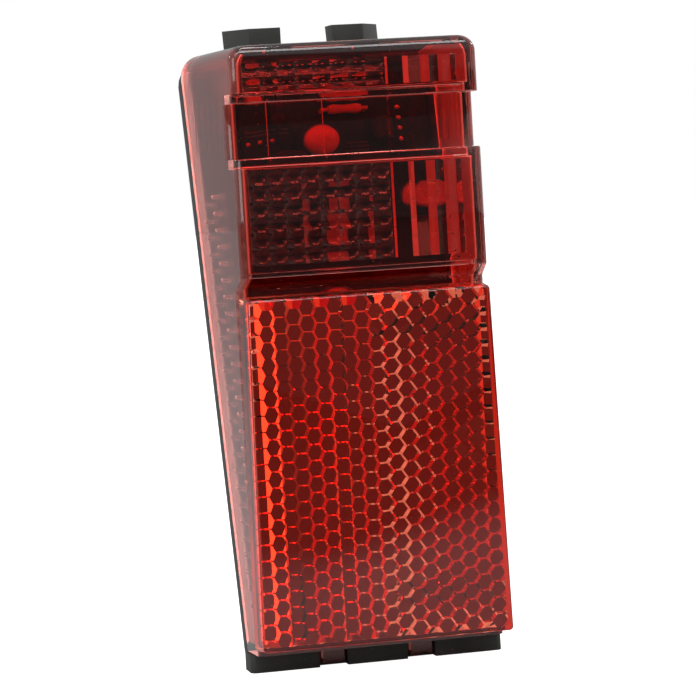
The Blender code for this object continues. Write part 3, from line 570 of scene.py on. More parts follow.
class Finish(Nodes):
    """A node material and the helpers that lay its nodes."""

    def __init__(self, name: str) -> None:
        """Start the material.

        Args:
            name: the material's name.
        """
        self.material = bpy.data.materials.new(name)
        self.material.use_nodes = True
        super().__init__(self.material.node_tree)
        self.shader = self.tree.nodes["Principled BSDF"]

    def paint(self, feeds: dict[str | int, object]) -> None:
        """Link or set the shader's own inputs by name."""
        self.feed(self.shader, feeds)

    def shared(self, tree: bpy.types.NodeTree, **numbers: float) -> bpy.types.NodeSocket:
        """Output of a shared group that is given these numbers by name."""
        return self.lay("ShaderNodeGroup", numbers, node_tree=tree).outputs[0]

    def between(self, mask: bpy.types.NodeSocket, low: float, high: float) -> bpy.types.NodeSocket:
        """Number that follows a mask from one value to another."""
        ramp = self.lay("ShaderNodeMapRange", {"Value": mask, "To Min": low, "To Max": high})
        return ramp.outputs["Result"]

    def blend(self, mask: bpy.types.NodeSocket, low: object, high: object) -> bpy.types.NodeSocket:
        """Colour that follows a mask between two colours.

        Args:
            mask: from 0 to 1.
            low: colour or socket at 0.
            high: colour or socket at 1.

        Returns:
            The colour's socket.
        """
        ends = [value if isinstance(value, bpy.types.NodeSocket) else (*value, 1.0)
                for value in (low, high)]
        mix = self.lay("ShaderNodeMix", {0: mask, 6: ends[0], 7: ends[1]}, data_type="RGBA")
        return mix.outputs[2]

    def bump(self, scale: float, strength: float, distance: float) -> None:
        """Raise the surface by the shared grain.

        Args:
            scale: the grain's scale.
            strength: how much of it shows.
            distance: metres for a height of 1.
        """
        height = self.shared(Groups.grain(), Scale=scale)
        node = self.lay("ShaderNodeBump",
                        {"Height": height, "Strength": strength, "Distance": distance})
        self.paint({"Normal": node.outputs["Normal"]})


@dataclass(frozen=True)
class ClearRed:
    """Clear red acrylic, faintly cloudy, with fine dust."""

    name: str
    tint: Colour = (0.85, 0.10, 0.07)
    deep: Colour = (0.78, 0.07, 0.05)
    ior: float = 1.49
    dust: float = 0.06
    gloss_rough: float = 0.015
    dust_rough: float = 0.5
    satin_rough: float = 0.32
    cloud_scale: float = 45.0
    dust_scale: float = 800.0
    escape: int = 4

    def make(self) -> bpy.types.Material:
        """Build the material.

        After `escape` reflections inside, light leaves the wall in place of being lost.

        Returns:
            The material.
        """
        finish = Finish(self.name)
        cloud = finish.shared(Groups.mottle(), Scale=self.cloud_scale)
        specks = finish.shared(Groups.dust(), Scale=self.dust_scale, Amount=self.dust)
        satin = finish.lay("ShaderNodeAttribute", attribute_name=SATIN).outputs["Fac"]
        rough = finish.maths("MAXIMUM",
                             finish.between(specks, self.gloss_rough, self.dust_rough),
                             finish.between(satin, self.gloss_rough, self.satin_rough))
        inside = finish.lay("ShaderNodeLightPath").outputs["Glossy Depth"]
        finish.paint({"Base Color": finish.blend(cloud, self.tint, self.deep),
                      "Roughness": rough, "IOR": self.ior, "Transmission Weight": 1.0,
                      "Alpha": finish.maths("LESS_THAN", inside, self.escape - 0.5)})
        return finish.material


@dataclass(frozen=True)
class MouldedPlastic:
    """Solid moulded plastic with grain and dust."""

    name: str
    colour: Colour
    paler: Colour
    rough: tuple[float, float] = (0.38, 0.55)
    grain: float = 0.25
    specular: float = 0.5
    cloud_scale: float = 120.0
    dust: float = 0.10
    dust_scale: float = 1100.0
    dust_colour: Colour = (0.16, 0.16, 0.15)
    grain_scale: float = 4000.0
    grain_depth: float = 0.00004

    def make(self) -> bpy.types.Material:
        """Build the material.

        Returns:
            The material.
        """
        finish = Finish(self.name)
        cloud = finish.shared(Groups.mottle(), Scale=self.cloud_scale)
        specks = finish.shared(Groups.dust(), Scale=self.dust_scale, Amount=self.dust)
        base = finish.blend(cloud, self.colour, self.paler)
        finish.paint({"Base Color": finish.blend(specks, base, self.dust_colour),
                      "Roughness": finish.between(cloud, *self.rough),
                      "Specular IOR Level": self.specular})
        finish.bump(self.grain_scale, self.grain, self.grain_depth)
        return finish.material


@dataclass(frozen=True)
class PlatedMetal:
    """Bright plated metal, slightly uneven."""

    name: str
    colour: Colour = (0.62, 0.62, 0.60)
    dull: Colour = (0.50, 0.49, 0.45)
    rough: tuple[float, float] = (0.22, 0.42)
    grain: float = 0.15
    cloud_scale: float = 300.0
    grain_scale: float = 2500.0
    grain_depth: float = 0.00003

    def make(self) -> bpy.types.Material:
        """Build the material.

        Returns:
            The material.
        """
        finish = Finish(self.name)
        cloud = finish.shared(Groups.mottle(), Scale=self.cloud_scale)
        finish.paint({"Base Color": finish.blend(cloud, self.colour, self.dull),
                      "Roughness": finish.between(cloud, *self.rough), "Metallic": 1.0})
        finish.bump(self.grain_scale, self.grain, self.grain_depth)
        return finish.material


LENS_RED = ClearRed("lens_red")
REFLECTOR_RED = ClearRed("reflector_red", (0.78, 0.024, 0.007), (0.72, 0.020, 0.006))
BASE_BLACK = MouldedPlastic("base_black", (0.018, 0.020, 0.018), (0.032, 0.034, 0.032),
                            (0.55, 0.72), specular=0.22)
SOLDER = PlatedMetal("solder", (0.70, 0.69, 0.66), (0.55, 0.54, 0.50))
TRACK_GREEN = MouldedPlastic("track_green", (0.02, 0.10, 0.05), (0.03, 0.13, 0.07), (0.25, 0.35))

# Finishes of the CAD nodes that show as they are
CAD_FINISHES = (
    (PlatedMetal("zinc_steel"),
     (*(f"mounting_{kind}_{place}" for kind in ("bolt", "washer", "nut")
        for place in ("lower", "upper")), "board_screw_upper", "board_screw_lower")),
    (MouldedPlastic("board_green", (0.003, 0.035, 0.02), (0.004, 0.045, 0.025), (0.3, 0.4),
                    0.05, 0.15), ("circuit_board",)),
    (MouldedPlastic("epoxy_black", (0.012, 0.012, 0.012), (0.018, 0.018, 0.018), specular=0.2),
     ("led_holder", "bridge_rectifier", "voltage_regulator", "diode")),
    (MouldedPlastic("led_milky", (0.85, 0.42, 0.36), (0.9, 0.5, 0.42), (0.2, 0.3), 0.0),
     ("led",)),
    (MouldedPlastic("resistor_tan", (0.6, 0.42, 0.22), (0.65, 0.45, 0.25)),
     ("resistor_lower", "resistor_upper")),
    (MouldedPlastic("can_sleeve", (0.014, 0.014, 0.016), (0.020, 0.020, 0.023), specular=0.2),
     ("standlight_capacitor",)),
    (PlatedMetal("tinned", (0.42, 0.41, 0.38), (0.32, 0.31, 0.28), (0.4, 0.6)),
     ("terminal_live", "terminal_earth")),
)


# Pieces

@dataclass(frozen=True)
class CaseShape:
    """The wedge that the cover, the base and the board share."""

    foot_depth: float = 0.0150
    lean: float = math.radians(12.9)
    front_half: float = 0.02345
    side_draft: float = 0.06
    height: float = 0.1128

    def rim_depth(self, height: float) -> float:
        """Distance from the front plane to the rim at a height."""
        return self.foot_depth + height * math.tan(self.lean)

    def half(self, depth: float) -> float:
        """Half width of the cover at a depth."""
        return self.front_half + self.side_draft * depth

    def rim_point(self, x: float, behind: float, up: float) -> Vector:
        """Point given behind the rim plane and up along it."""
        return Vector((x, self.foot_depth + up * math.sin(self.lean) + behind * math.cos(self.lean),
                       up * math.cos(self.lean) - behind * math.sin(self.lean)))


@dataclass
class LensCover:
    """Clear red shell with its stepped front, optics, tongues and snap tabs."""

    case: CaseShape = field(default_factory=CaseShape)
    wall: float = 0.0018
    bottom: float = -0.0010
    foot_front: float = 0.0062
    band_front: float = 0.0018
    window_front: float = 0.0074
    groove_top: float = 0.0676
    band_bottom: float = 0.0699
    window_bottom: float = 0.0919
    window_top: float = 0.1022
    front_round: float = 0.0016
    top_round: float = 0.0030
    back_round: float = 0.0045
    edge: float = 0.0004
    arc_steps: int = 8
    pillow_pitch: float = 0.0032
    pillow_rise: float = 0.0006
    pillow_fineness: int = 6
    rib_pitch: float = 0.0034
    rib_rise: float = 0.0011
    rib_slope: float = 0.6
    rib_shares: tuple[float, ...] = (0.15, 0.35, 0.55, 0.75)
    optic_split: float = 0.0061
    optic_pad: float = 0.0002
    margin: float = 0.0008
    dash_pitch: float = 0.00315
    dash_rows: int = 25
    dash_low: float = 0.0080
    dash_before_rim: float = 0.0045
    dash_length: float = 0.0066
    dash_spacing: float = 0.0072
    dash_rise: float = 0.0006
    dash_least: float = 0.2
    dash_full: float = 0.999
    flute_count: int = 5
    flute_pitch: float = 0.0044
    flute_start: float = 0.0070
    flute_share: float = 0.3
    line_places: tuple[float, ...] = (-0.0158, -0.0051, 0.0076)
    line_half: float = 0.00035
    line_rise: float = 0.00025
    tongue_x: float = 0.0085
    tongue_half: float = 0.0023
    tongue_thick: float = 0.0015
    tongue_reach: float = 0.0030
    tongue_gap: float = 0.0002
    tab_x: float = 0.0086
    tab_half: float = 0.00205
    tab_depths: tuple[float, float] = (0.0108, 0.0128)
    tab_drop: float = 0.0031

    def top_cut(self, height: float, radius: float) -> float:
        """How far a round top edge of this radius pulls in at a height."""
        over = height - (self.case.height - radius)
        return 0.0 if over <= 0.0 else radius - math.sqrt(max(radius ** 2 - over ** 2, 0.0))

    def level(self, height: float, front: float, inset: float, radius: float,
              shrink: float = 0.0, past: float = 0.0) -> Loop:
        """Loop of the shell at one height.

        Args:
            height: the level.
            front: depth of its front.
            inset: how far it lies inside the outer face.
            radius: radius of its front corners.
            shrink: taken off the radii of the top's round edges.
            past: how far it runs out behind the rim.

        Returns:
            The loop.
        """
        reach = height + shrink
        back = self.case.rim_depth(height)
        back_half = self.case.half(back) - inset - self.top_cut(reach, self.back_round)
        back_half += past * self.case.side_draft
        front_cut = self.top_cut(reach, self.top_round)
        centre = front + radius
        half = self.case.half(centre) - inset - front_cut
        loop = [(back_half, back + past, height)]
        for side, start in ((1.0, 0.0), (-1.0, -90.0)):
            for k in range(self.arc_steps + 1):
                angle = math.radians(start - 90.0 * k / self.arc_steps)
                loop.append((side * (half - radius) + radius * math.cos(angle),
                             centre + radius * math.sin(angle), height))
        loop.append((-back_half, back + past, height))
        return loop

    def outside(self) -> Shape:
        """Outer skin: foot, groove, lamp band, window band, top band and round top.

        Returns:
            Points and faces.
        """
        edge = self.edge
        start_top = self.case.height - self.back_round
        profile = rounded([(self.bottom, self.foot_front, 0.0),
                           (self.groove_top, self.foot_front, 2 * edge),
                           (self.band_bottom, self.band_front, edge),
                           (self.window_bottom, self.band_front, edge),
                           (self.window_bottom, self.window_front, edge / 2),
                           (self.window_top, self.window_front, edge / 2),
                           (self.window_top, self.band_front, edge),
                           (start_top, self.band_front, 0.0)])
        rings = [self.level(z, y, 0.0, self.front_round) for z, y in profile]
        for k in range(1, 2 * self.arc_steps + 1):
            angle = math.radians(90.0 * k / (2 * self.arc_steps))
            height = start_top + self.back_round * math.sin(angle)
            front = self.band_front + 0.5 * self.top_cut(height, self.top_round)
            rings.append(self.level(height, front, 0.0, self.front_round))
        return loft(rings)

    def hollow(self) -> Shape:
        """Inner space, one wall in, running out past the rim.

        Returns:
            Points and faces.
        """
        wall = self.wall
        band = self.band_front + wall
        window = self.window_front + wall
        foot = self.foot_front + wall
        top = self.case.height - wall
        start_top = top - self.back_round + wall
        profile = rounded([(self.bottom + wall, foot, 0.0),
                           (self.groove_top + wall / 2, foot, wall / 2),
                           (self.band_bottom + wall / 2, band, wall / 4),
                           (self.window_bottom - wall, band, wall / 4),
                           (self.window_bottom - wall, window, wall / 4),
                           (self.window_top + wall, window, wall / 4),
                           (self.window_top + wall, band, wall / 4),
                           (start_top, band, 0.0)])
        rings = [self.level(z, y, wall, wall / 2, past=wall) for z, y in profile]
        for k in range(1, self.arc_steps + 1):
            angle = math.radians(90.0 * k / self.arc_steps)
            height = start_top + (top - start_top) * math.sin(angle)
            rings.append(self.level(height, band, wall, wall / 2, shrink=wall / 2, past=wall))
        return loft(rings)

    def pillow_bank(self, material: bpy.types.Material, low_z: float, high_z: float,
                    name: str) -> bpy.types.Object:
        """Domed tiles that stand into the chamber from the front wall.

        Args:
            material: their finish.
            low_z: lower end.
            high_z: upper end.
            name: the object's name.

        Returns:
            A closed solid that starts inside the wall.
        """
        face = self.band_front + self.wall
        low_x = self.margin + self.wall - self.case.half(face)
        high_x = self.optic_split - self.margin / 2
        width = high_x - low_x
        height = high_z - low_z
        sheet = Trees.run(solid(name, block((0, 0, 0), (width, width, width))), Trees.pillows(), {
            "Width": width, "Height": height, "Rise": self.pillow_rise,
            "Columns": round(width / self.pillow_pitch),
            "Rows": round(height / self.pillow_pitch),
            "Fineness": self.pillow_fineness, "Material": material})
        middle = Vector(((low_x + high_x) / 2, face + self.optic_pad, (low_z + high_z) / 2))
        stand = Matrix(((1, 0, 0), (0, 0, 1), (0, 1, 0))).to_4x4()
        sheet.data.transform(Matrix.Translation(middle) @ stand)
        with editing(sheet.data) as shell:
            close_to_depth(shell, face - self.wall / 2)
        return sheet

    def rib_bank(self, low_z: float, high_z: float) -> Shape:
        """Upright prism ribs on the right of a band.

        Args:
            low_z: lower end.
            high_z: upper end.

        Returns:
            Points and faces.
        """
        face = self.band_front + self.wall
        start = self.optic_split
        outline = [(start, face - self.wall / 2), (start, face + self.optic_pad)]
        for k, share in enumerate(self.rib_shares):
            rise = min(self.rib_rise, self.optic_pad + share * self.rib_pitch * self.rib_slope)
            outline.append((start + (k + share) * self.rib_pitch, face + rise))
            outline.append((start + (k + 1) * self.rib_pitch, face + self.optic_pad))
        outline.append((start + len(self.rib_shares) * self.rib_pitch, face - self.wall / 2))
        return upright(outline, low_z, high_z)

    def dash(self, side: float, column: int, row: int) -> tuple[Shape, float]:
        """One short level rib inside a side wall, clear of the front wall.

        Args:
            side: -1 for the left wall, 1 for the right.
            column: 0 next to the rim, 1 further forward.
            row: counted from the foot.

        Returns:
            The rib, and how much of its length the front wall leaves, from 0 to 1.
        """
        z = self.dash_low + (row + column / 2) * self.dash_pitch
        deep = self.case.rim_depth(z) - self.dash_before_rim - column * self.dash_spacing
        shallow = max(deep - self.dash_length, self.foot_front + self.wall / 2)
        ends = []
        for y in (deep, shallow):
            x = self.case.half(y) - self.wall
            root = side * (x + self.wall / 3)
            ends.append([(root, y, z - self.dash_pitch / 4), (side * (x - self.dash_rise), y, z),
                         (root, y, z + self.dash_pitch / 4)])
        return loft(ends), (deep - shallow) / self.dash_length

    def side_dashes(self, material: bpy.types.Material) -> list[bpy.types.Object]:
        """Two staggered columns of short ribs inside each side wall.

        Args:
            material: their finish.

        Returns:
            The ribs, the full ones of a column as one object.
        """
        made = []
        pitch = self.dash_pitch
        slope = math.tan(self.case.lean)
        for side in SIDES:
            step = (side * self.case.side_draft * slope * pitch, slope * pitch, pitch)
            for column in range(2):
                ribs = [self.dash(side, column, row) for row in range(self.dash_rows)]
                short = [rib for rib, share in ribs if self.dash_least < share < self.dash_full]
                full = [rib for rib, share in ribs if share >= self.dash_full]
                made.append(solid("dashes_short", merged(short)))
                made.append(repeated("dashes_full", full[0], len(full), step, material))
        return made

    def side_flutes(self, material: bpy.types.Material) -> list[bpy.types.Object]:
        """Shallow upright ridges inside the upper part of each side wall.

        Args:
            material: their finish.

        Returns:
            One object for each side.
        """
        pitch = self.flute_pitch
        first = self.window_front + self.flute_start
        half = pitch * self.flute_share
        rows = []
        for side in SIDES:
            outline = []
            for y, lift in ((first - half, 0.0), (first, 1.0), (first + half, 0.0)):
                x = self.case.half(y) - self.wall
                outline.append((side * (x + self.wall / 3 - lift * self.wall / 2), y))
            shape = upright(outline, self.window_bottom + self.wall,
                            self.case.height - 2 * self.back_round)
            rows.append(repeated("flutes", shape, self.flute_count,
                                 (side * self.case.side_draft * pitch, pitch, 0.0), material))
        return rows

    def window_lines(self) -> Shape:
        """Fine upright ridges inside the window.

        Returns:
            Points and faces.
        """
        face = self.window_front + self.wall
        root = face - self.wall / 3
        return merged([upright([(x - self.line_half, root), (x, face + self.line_rise),
                                (x + self.line_half, root)],
                               self.window_bottom - self.wall / 2, self.window_top + self.wall / 2)
                       for x in self.line_places])

    def mark_satin(self, mesh: bpy.types.Mesh) -> None:
        """Mark the inner faces of the side walls, which have a satin tool finish.

        Args:
            mesh: the cover, in the front frame.
        """
        marks = mesh.attributes.new(SATIN, "FLOAT", "FACE")
        for face, mark in zip(mesh.polygons, marks.data):
            middle = face.center
            wall = self.case.half(middle.y) - abs(middle.x)
            inward = -face.normal.x * math.copysign(1.0, middle.x)
            mark.value = 1.0 if inward > 0.2 and self.wall / 2 < wall < 2 * self.wall else 0.0

    def hooks(self) -> Shape:
        """Two tongues behind the top edge and two snap tabs under the foot.

        Returns:
            Points and faces.
        """
        rim = self.case.rim_depth(self.case.height)
        top = self.case.height - self.tongue_gap
        front, back = self.tab_depths
        parts = []
        for side in SIDES:
            x = side * self.tongue_x
            parts.append(block((x - self.tongue_half, rim - self.wall, top - self.tongue_thick),
                               (x + self.tongue_half, rim + self.tongue_reach, top)))
            x = side * self.tab_x
            parts.append(block((x - self.tab_half, front, self.bottom - self.tab_drop),
                               (x + self.tab_half, back, self.bottom + self.wall / 2)))
        return merged(parts)

    def build(self, material: bpy.types.Material) -> bpy.types.Object:
        """Make the cover and dress it.

        Args:
            material: its finish.

        Returns:
            The piece.
        """
        cover = solid("lens_cover_clear", self.outside())
        join(cover, solid("hollow", self.hollow()), Joining.CUT)
        tools = []
        for low, high in ((self.band_bottom + self.wall, self.window_bottom - self.wall),
                          (self.window_top + self.wall, self.case.height - self.top_round)):
            low += self.margin / 2
            high -= self.margin / 2
            tools.append(self.pillow_bank(material, low, high, "pillows"))
            tools.append(solid("ribs", self.rib_bank(low, high)))
        tools += self.side_dashes(material) + self.side_flutes(material)
        tools += [solid("window_lines", self.window_lines()), solid("hooks", self.hooks())]
        for tool in tools:
            join(cover, tool, Joining.ADD)
        self.mark_satin(cover.data)
        LOG.info("lens cover: %d faces", len(cover.data.polygons))
        return show(cover, Body.COVER, material, ("lens_cover",))


@dataclass
class ReflectorPlate:
    """Clear red plate with a field of cube corners behind its smooth face."""

    height: float = 0.0664
    top_half: float = 0.0237
    bottom_half: float = 0.0246
    depth: float = 0.0059
    skirt: float = 0.0012
    side_slope: float = 0.0005
    edge_round: float = 0.0006
    corner: float = 0.0010
    pitch: float = 0.0030
    sheet: float = 0.0016
    centre: tuple[float, float] = (-0.0012, 0.0338)
    zone_split: float = 0.0001
    arc_steps: int = 6

    def outline(self, inset: float) -> list[tuple[float, float]]:
        """Outline of the plate moved in by an inset.

        Args:
            inset: how far in.

        Returns:
            Points (x, z).
        """
        corner = max(self.corner - inset / 2, self.corner / 2)
        low, high = inset + corner, self.height - inset - corner
        low_half, high_half = self.bottom_half - inset, self.top_half - inset
        points = []
        for x, z, start in ((high_half - corner, high, 0.0), (corner - high_half, high, 90.0),
                            (corner - low_half, low, 180.0), (low_half - corner, low, 270.0)):
            for k in range(self.arc_steps + 1):
                angle = math.radians(start + 90.0 * k / self.arc_steps)
                points.append((x + corner * math.cos(angle), z + corner * math.sin(angle)))
        return points

    def body(self) -> Shape:
        """Outside of the plate with a round front edge and sloped sides.

        Returns:
            Points and faces.
        """
        rings = []
        for k in range(self.arc_steps + 1):
            angle = math.radians(90.0 * k / self.arc_steps)
            inset = self.side_slope + self.edge_round * (1.0 - math.sin(angle))
            depth = self.edge_round * (1.0 - math.cos(angle))
            rings.append([(x, depth, z) for x, z in self.outline(inset)])
        rings.append([(x, self.depth, z) for x, z in self.outline(0.0)])
        return loft(rings)

    def cell(self, shell: bmesh.types.BMesh, x: float, z: float) -> None:
        """Add one cube corner of the air behind the plate.

        The stars of the two zones are turned by half a turn. Where a cell meets the other
        zone, its outer edge is split and small upright walls close the step.

        Args:
            shell: the growing sheet.
            x: the cell's middle.
            z: the cell's middle.
        """
        reach = self.pitch / math.sqrt(3.0)
        step = self.pitch / math.sqrt(6.0)
        in_right = x > self.zone_split

        def facet(*corners: Vector) -> None:
            """Add one face from (x, steps, z) corners."""
            shell.faces.new([shell.verts.new((corner.x, self.sheet + corner.y * step, corner.z))
                             for corner in corners])

        middle = Vector((x, 2.0, z))
        rim = []
        for k in range(6):
            turn = math.radians(60.0 * k)
            level = 1.0 if (k % 2 == 0) != in_right else 0.0
            rim.append(Vector((x + reach * math.cos(turn), level, z + reach * math.sin(turn))))
        for k in range(6):
            one, two = rim[k], rim[(k + 1) % 6]
            across = x + self.pitch * math.cos(math.radians(60.0 * k + 30.0))
            if (across > self.zone_split) == in_right:
                facet(one, two, middle)
                continue
            halfway = (one + two) / 2
            facet(one, halfway, middle)
            facet(halfway, two, middle)
            if in_right:
                facet(Vector((one.x, 0.0, one.z)), Vector((one.x, 1.0, one.z)), halfway)
                facet(Vector((two.x, 1.0, two.z)), Vector((two.x, 0.0, two.z)), halfway)

    def prism_air(self) -> bpy.types.Object:
        """Air behind the plate: a honeycomb of cube corners, three square faces to a cell.

        Returns:
            A closed solid inside the plate's skirt.
        """
        column = self.pitch * math.sqrt(3.0) / 2
        columns = math.ceil(self.bottom_half / column) + 1
        rows = math.ceil(self.height / self.pitch / 2) + 2
        air = added("prism_air", bpy.data.meshes.new("prism_air"))
        with editing(air.data) as shell:
            for i in range(-columns, columns + 1):
                for j in range(-rows, rows + 1):
                    self.cell(shell, self.centre[0] + i * column,
                              self.centre[1] + (j + 0.5 * (i % 2)) * self.pitch)
            bmesh.ops.remove_doubles(shell, verts=shell.verts, dist=WELD)
            close_to_depth(shell, self.depth + self.pitch)
        inner = loft([[(x, y, z) for x, z in self.outline(self.skirt)]
                      for y in (self.sheet / 2, self.depth + self.pitch / 2)])
        join(air, solid("prism_bounds", inner), Joining.KEEP)
        return air

    def build(self, material: bpy.types.Material) -> bpy.types.Object:
        """Make the plate and dress it.

        Args:
            material: its finish.

        Returns:
            The piece.
        """
        plate = solid("reflector_plate_clear", self.body())
        join(plate, self.prism_air(), Joining.CUT)
        LOG.info("reflector plate: %d faces", len(plate.data.polygons))
        return show(plate, Body.COVER, material, ("reflector_plate",))


@dataclass
class BaseShell:
    """Black back half with its edges eased."""

    ease: float = 0.00022
    segments: int = 2

    def build(self, material: bpy.types.Material) -> bpy.types.Object:
        """Make an eased copy of the base and dress it.

        Args:
            material: its finish.

        Returns:
            The piece.
        """
        shell = merged_copy("base_plate", "base_plate_eased")
        bevel = shell.modifiers.new("ease", "BEVEL")
        bevel.width = self.ease
        bevel.segments = self.segments
        bevel.limit_method = "ANGLE"
        bevel.angle_limit = BEVEL_ANGLE
        freeze(shell)
        LOG.info("base plate: %d faces", len(shell.data.polygons))
        return show(shell, Body.BASE, material, ("base_plate",), shift=False)


@dataclass
class LampBoard:
    """Solder joints and copper tracks on the front of the circuit board."""

    case: CaseShape = field(default_factory=CaseShape)
    face: float = -0.0079
    joint_radius: float = 0.00055
    joint_height: float = 0.00035
    joint_pitch: float = 0.00254
    joint_steps: int = 12
    joint_rings: int = 4
    ring_degrees: float = 28.0
    track_width: float = 0.0004
    track_height: float = 0.00006
    track_step: float = 0.0009
    level_joints: tuple[tuple[float, float, int], ...] = ((-0.0155, 0.0955, 3),
                                                          (-0.0080, 0.1075, 7))
    upright_joints: tuple[float, float, int] = (0.0145, 0.0945, 4)
    tracks: tuple[tuple[float, float, float, int], ...] = ((0.0032, 0.0080, 0.0922, 3),
                                                           (-0.0160, -0.0072, 0.0972, 2))

    def joint(self, x: float, up: float) -> Shape:
        """Low dome of solder.

        Args:
            x: its middle.
            up: its middle, along the rim plane.

        Returns:
            Points and faces.
        """
        turns = [math.tau * n / self.joint_steps for n in range(self.joint_steps)]
        rings = []
        for k in range(self.joint_rings):
            angle = math.radians(self.ring_degrees * k)
            away = self.joint_radius * math.cos(angle)
            out = self.face - self.joint_height * math.sin(angle)
            rings.append([tuple(self.case.rim_point(x + away * math.cos(turn), out,
                                                    up + away * math.sin(turn)))
                          for turn in turns])
        return loft(rings)

    def track(self, low_x: float, high_x: float, up: float) -> Shape:
        """Thin raised copper track between two ends.

        Args:
            low_x: left end.
            high_x: right end.
            up: its middle, along the rim plane.

        Returns:
            Points and faces.
        """
        half = self.track_width / 2
        corners = ((low_x, up - half), (high_x, up - half), (high_x, up + half), (low_x, up + half))
        return loft([[tuple(self.case.rim_point(x, out, u)) for x, u in corners]
                     for out in (self.face, self.face - self.track_height)])

    def upward(self, distance: float) -> Point:
        """Step of this length up the rim plane."""
        return tuple(self.case.rim_point(0.0, 0.0, distance) - self.case.rim_point(0.0, 0.0, 0.0))

    def build(self, solder: bpy.types.Material, copper: bpy.types.Material) -> None:
        """Make the joints and the tracks and dress them.

        Args:
            solder: the joints' finish.
            copper: the tracks' finish.
        """
        level = (self.joint_pitch, 0.0, 0.0)
        rows = [(f"solder_joints_{number}", joints, level)
                for number, joints in enumerate(self.level_joints)]
        rows.append(("solder_joints_side", self.upright_joints, self.upward(self.joint_pitch)))
        for name, (x, up, count), step in rows:
            show(repeated(name, self.joint(x, up), count, step, solder), Body.BASE,
                 solder)
        for number, (low_x, high_x, up, count) in enumerate(self.tracks):
            bundle = repeated(f"tracks_{number}", self.track(low_x, high_x, up), count,
                              self.upward(self.track_step), copper)
            show(bundle, Body.BASE, copper)
        LOG.info("lamp board: %d rows of solder joints, %d of tracks", len(rows), len(self.tracks))


# Stage

@dataclass(frozen=True)
class SoftBox:
    """A rectangular lamp that faces the object."""

    name: str
    place: Point
    size: tuple[float, float]
    watts: float

    def hang(self) -> None:
        """Put the lamp into the scene."""
        lamp = bpy.data.lights.new(self.name, "AREA")
        lamp.shape = "RECTANGLE"
        lamp.size, lamp.size_y = self.size
        lamp.energy = self.watts
        holder = added(self.name, lamp)
        holder.location = self.place
        holder.rotation_euler = (-Vector(self.place)).to_track_quat("-Z", "Y").to_euler()


SOFT_BOXES = (
    SoftBox("box_left", (-0.9, 0.35, 0.6), (0.16, 0.16), 1.4),
    SoftBox("box_right", (0.9, 0.3, 0.5), (0.16, 0.16), 1.8),
    SoftBox("box_top", (0.05, -0.25, 1.1), (0.20, 0.20), 1.6),
    SoftBox("box_front_left", (-0.78, -0.80, 0.30), (0.60, 0.55), 3.4),
    SoftBox("strip", (0.0, -0.75, 0.85), (1.0, 0.22), 5.0),
)


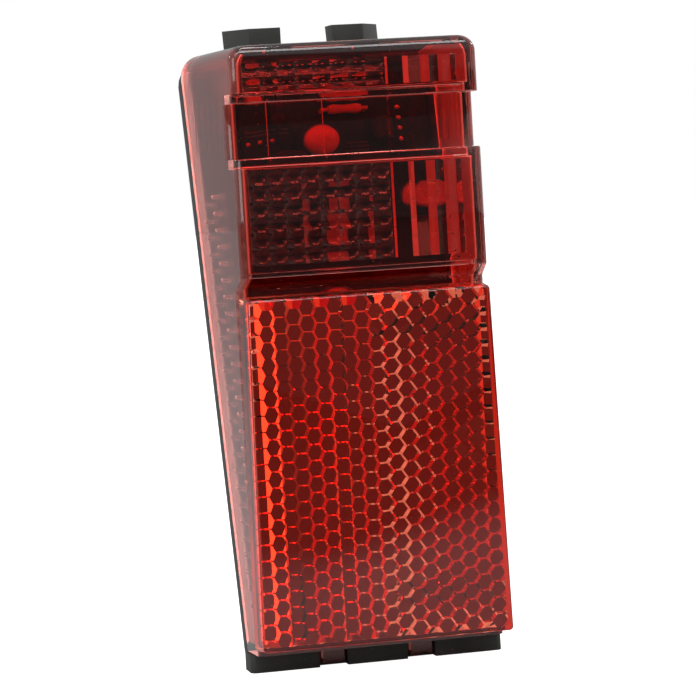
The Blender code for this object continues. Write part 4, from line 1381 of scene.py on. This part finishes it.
@dataclass
class Studio:
    """Pale floor, soft surrounding light, lamps and the camera."""

    floor_height: float = -0.0048
    floor_reach: float = 4.0
    floor_rough: float = 0.9
    floor_pale: Colour = (0.50, 0.50, 0.50)
    # painted shade: near black floor colour in front of the object, seen by all rays but the
    # camera's
    floor_painted_shade: Colour = (0.03, 0.03, 0.03)
    dark_front: float = 0.17
    dark_cone: tuple[float, float] = (-0.945, -0.88)
    dark_floor: tuple[float, float] = (-0.30, -0.12)
    dim_back: float = 0.45
    dim_cone: tuple[float, float] = (0.70, 0.90)
    white: tuple[float, float, float, float] = (1.0, 1.0, 1.0, 1.0)
    lens_mm: float = 155.17
    sensor_mm: float = 36.0
    clip_start: float = 0.01
    camera_place: Point = (-0.12935, -0.54052, 0.08965)
    view_way: Point = (0.22414, 0.97267, -0.06062)
    view_up: Point = (0.07141, 0.04565, 0.9964)

    def make_camera(self) -> None:
        """Place the camera at the photograph's angle."""
        camera = bpy.data.cameras.new("camera")
        camera.lens = self.lens_mm
        camera.sensor_width = self.sensor_mm
        camera.clip_start = self.clip_start
        holder = added("camera", camera)
        back = -Vector(self.view_way)
        up = Vector(self.view_up)
        turn = Matrix((up.cross(back), up, back)).transposed()
        holder.matrix_world = Matrix.Translation(Vector(self.camera_place) - MOUNT) @ turn.to_4x4()
        bpy.context.scene.camera = holder

    @staticmethod
    def shade(nodes: Nodes, where: bpy.types.NodeSocket,
              ramps: Sequence[tuple[float, float, float, float]]) -> bpy.types.NodeSocket:
        """Strength that changes along Y, but stays full for what the camera sees itself.

        Args:
            nodes: the node tree.
            where: a vector whose Y is read.
            ramps: start, end, and the levels there; the ramps multiply.

        Returns:
            The strength's socket.
        """
        along = nodes.lay("ShaderNodeSeparateXYZ", {0: where}).outputs["Y"]
        strength: object = 1.0
        for start, end, low, high in ramps:
            ramp = nodes.lay("ShaderNodeMapRange", {"Value": along, "From Min": start,
                                                    "From Max": end, "To Min": low,
                                                    "To Max": high},
                             interpolation_type="SMOOTHSTEP")
            strength = nodes.maths("MULTIPLY", strength, ramp.outputs["Result"])
        return nodes.maths("MAXIMUM", strength, nodes.seen())

    def make_world(self) -> None:
        """Surround the object with white, darker on the camera's side and straight behind."""
        world = bpy.data.worlds.new("studio")
        world.use_nodes = True
        nodes = Nodes(world.node_tree)
        where = nodes.lay("ShaderNodeTexCoord").outputs["Generated"]
        strength = self.shade(nodes, where, ((*self.dark_cone, self.dark_front, 1.0),
                                             (*self.dim_cone, 1.0, self.dim_back)))
        nodes.feed(nodes.tree.nodes["Background"], {"Color": self.white, "Strength": strength})
        bpy.context.scene.world = world
        bpy.context.scene.view_settings.view_transform = "Standard"

    def make_floor(self) -> None:
        """Lay the floor, white to the camera, with painted shade: for all other light its colour is
        painted near black in front.
        """
        reach, height = self.floor_reach, self.floor_height
        mesh = bpy.data.meshes.new("floor")
        mesh.from_pydata([(-reach, -reach, height), (reach, -reach, height),
                          (reach, reach, height), (-reach, reach, height)], [], [(0, 1, 2, 3)])
        mesh.transform(Matrix.Translation(-MOUNT))
        floor = added("floor", mesh)
        finish = Finish("floor_pale")
        where = finish.lay("ShaderNodeTexCoord").outputs["Object"]
        # painted shade: the floor colour fades to near black in front of the object for every ray
        # but the camera's
        share = self.shade(finish, where, ((*self.dark_floor, 0.0, 1.0),))
        finish.paint({"Base Color": finish.blend(share, self.floor_painted_shade, self.floor_pale),
                      "Roughness": self.floor_rough, "Emission Color": self.white,
                      "Emission Strength": finish.seen()})
        mesh.materials.append(finish.material)

    def build(self) -> None:
        """Make the whole stage."""
        self.make_camera()
        self.make_world()
        self.make_floor()
        for box in SOFT_BOXES:
            box.hang()
        LOG.info("studio: %d lamps", len(SOFT_BOXES))


def main() -> None:
    """Build the looks in order."""
    logging.basicConfig(level=logging.INFO)
    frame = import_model()
    LOG.info("frame: %d CAD nodes", len(frame["nodes"]))
    Studio().build()
    LensCover().build(LENS_RED.make())
    ReflectorPlate().build(REFLECTOR_RED.make())
    BaseShell().build(BASE_BLACK.make())
    for finish, names in CAD_FINISHES:
        material = finish.make()
        for name in names:
            dress(name, material)
        LOG.info("%s: %s", finish.name, ", ".join(names))
    LampBoard().build(SOLDER.make(), TRACK_GREEN.make())


if __name__ == "__main__":
    main()
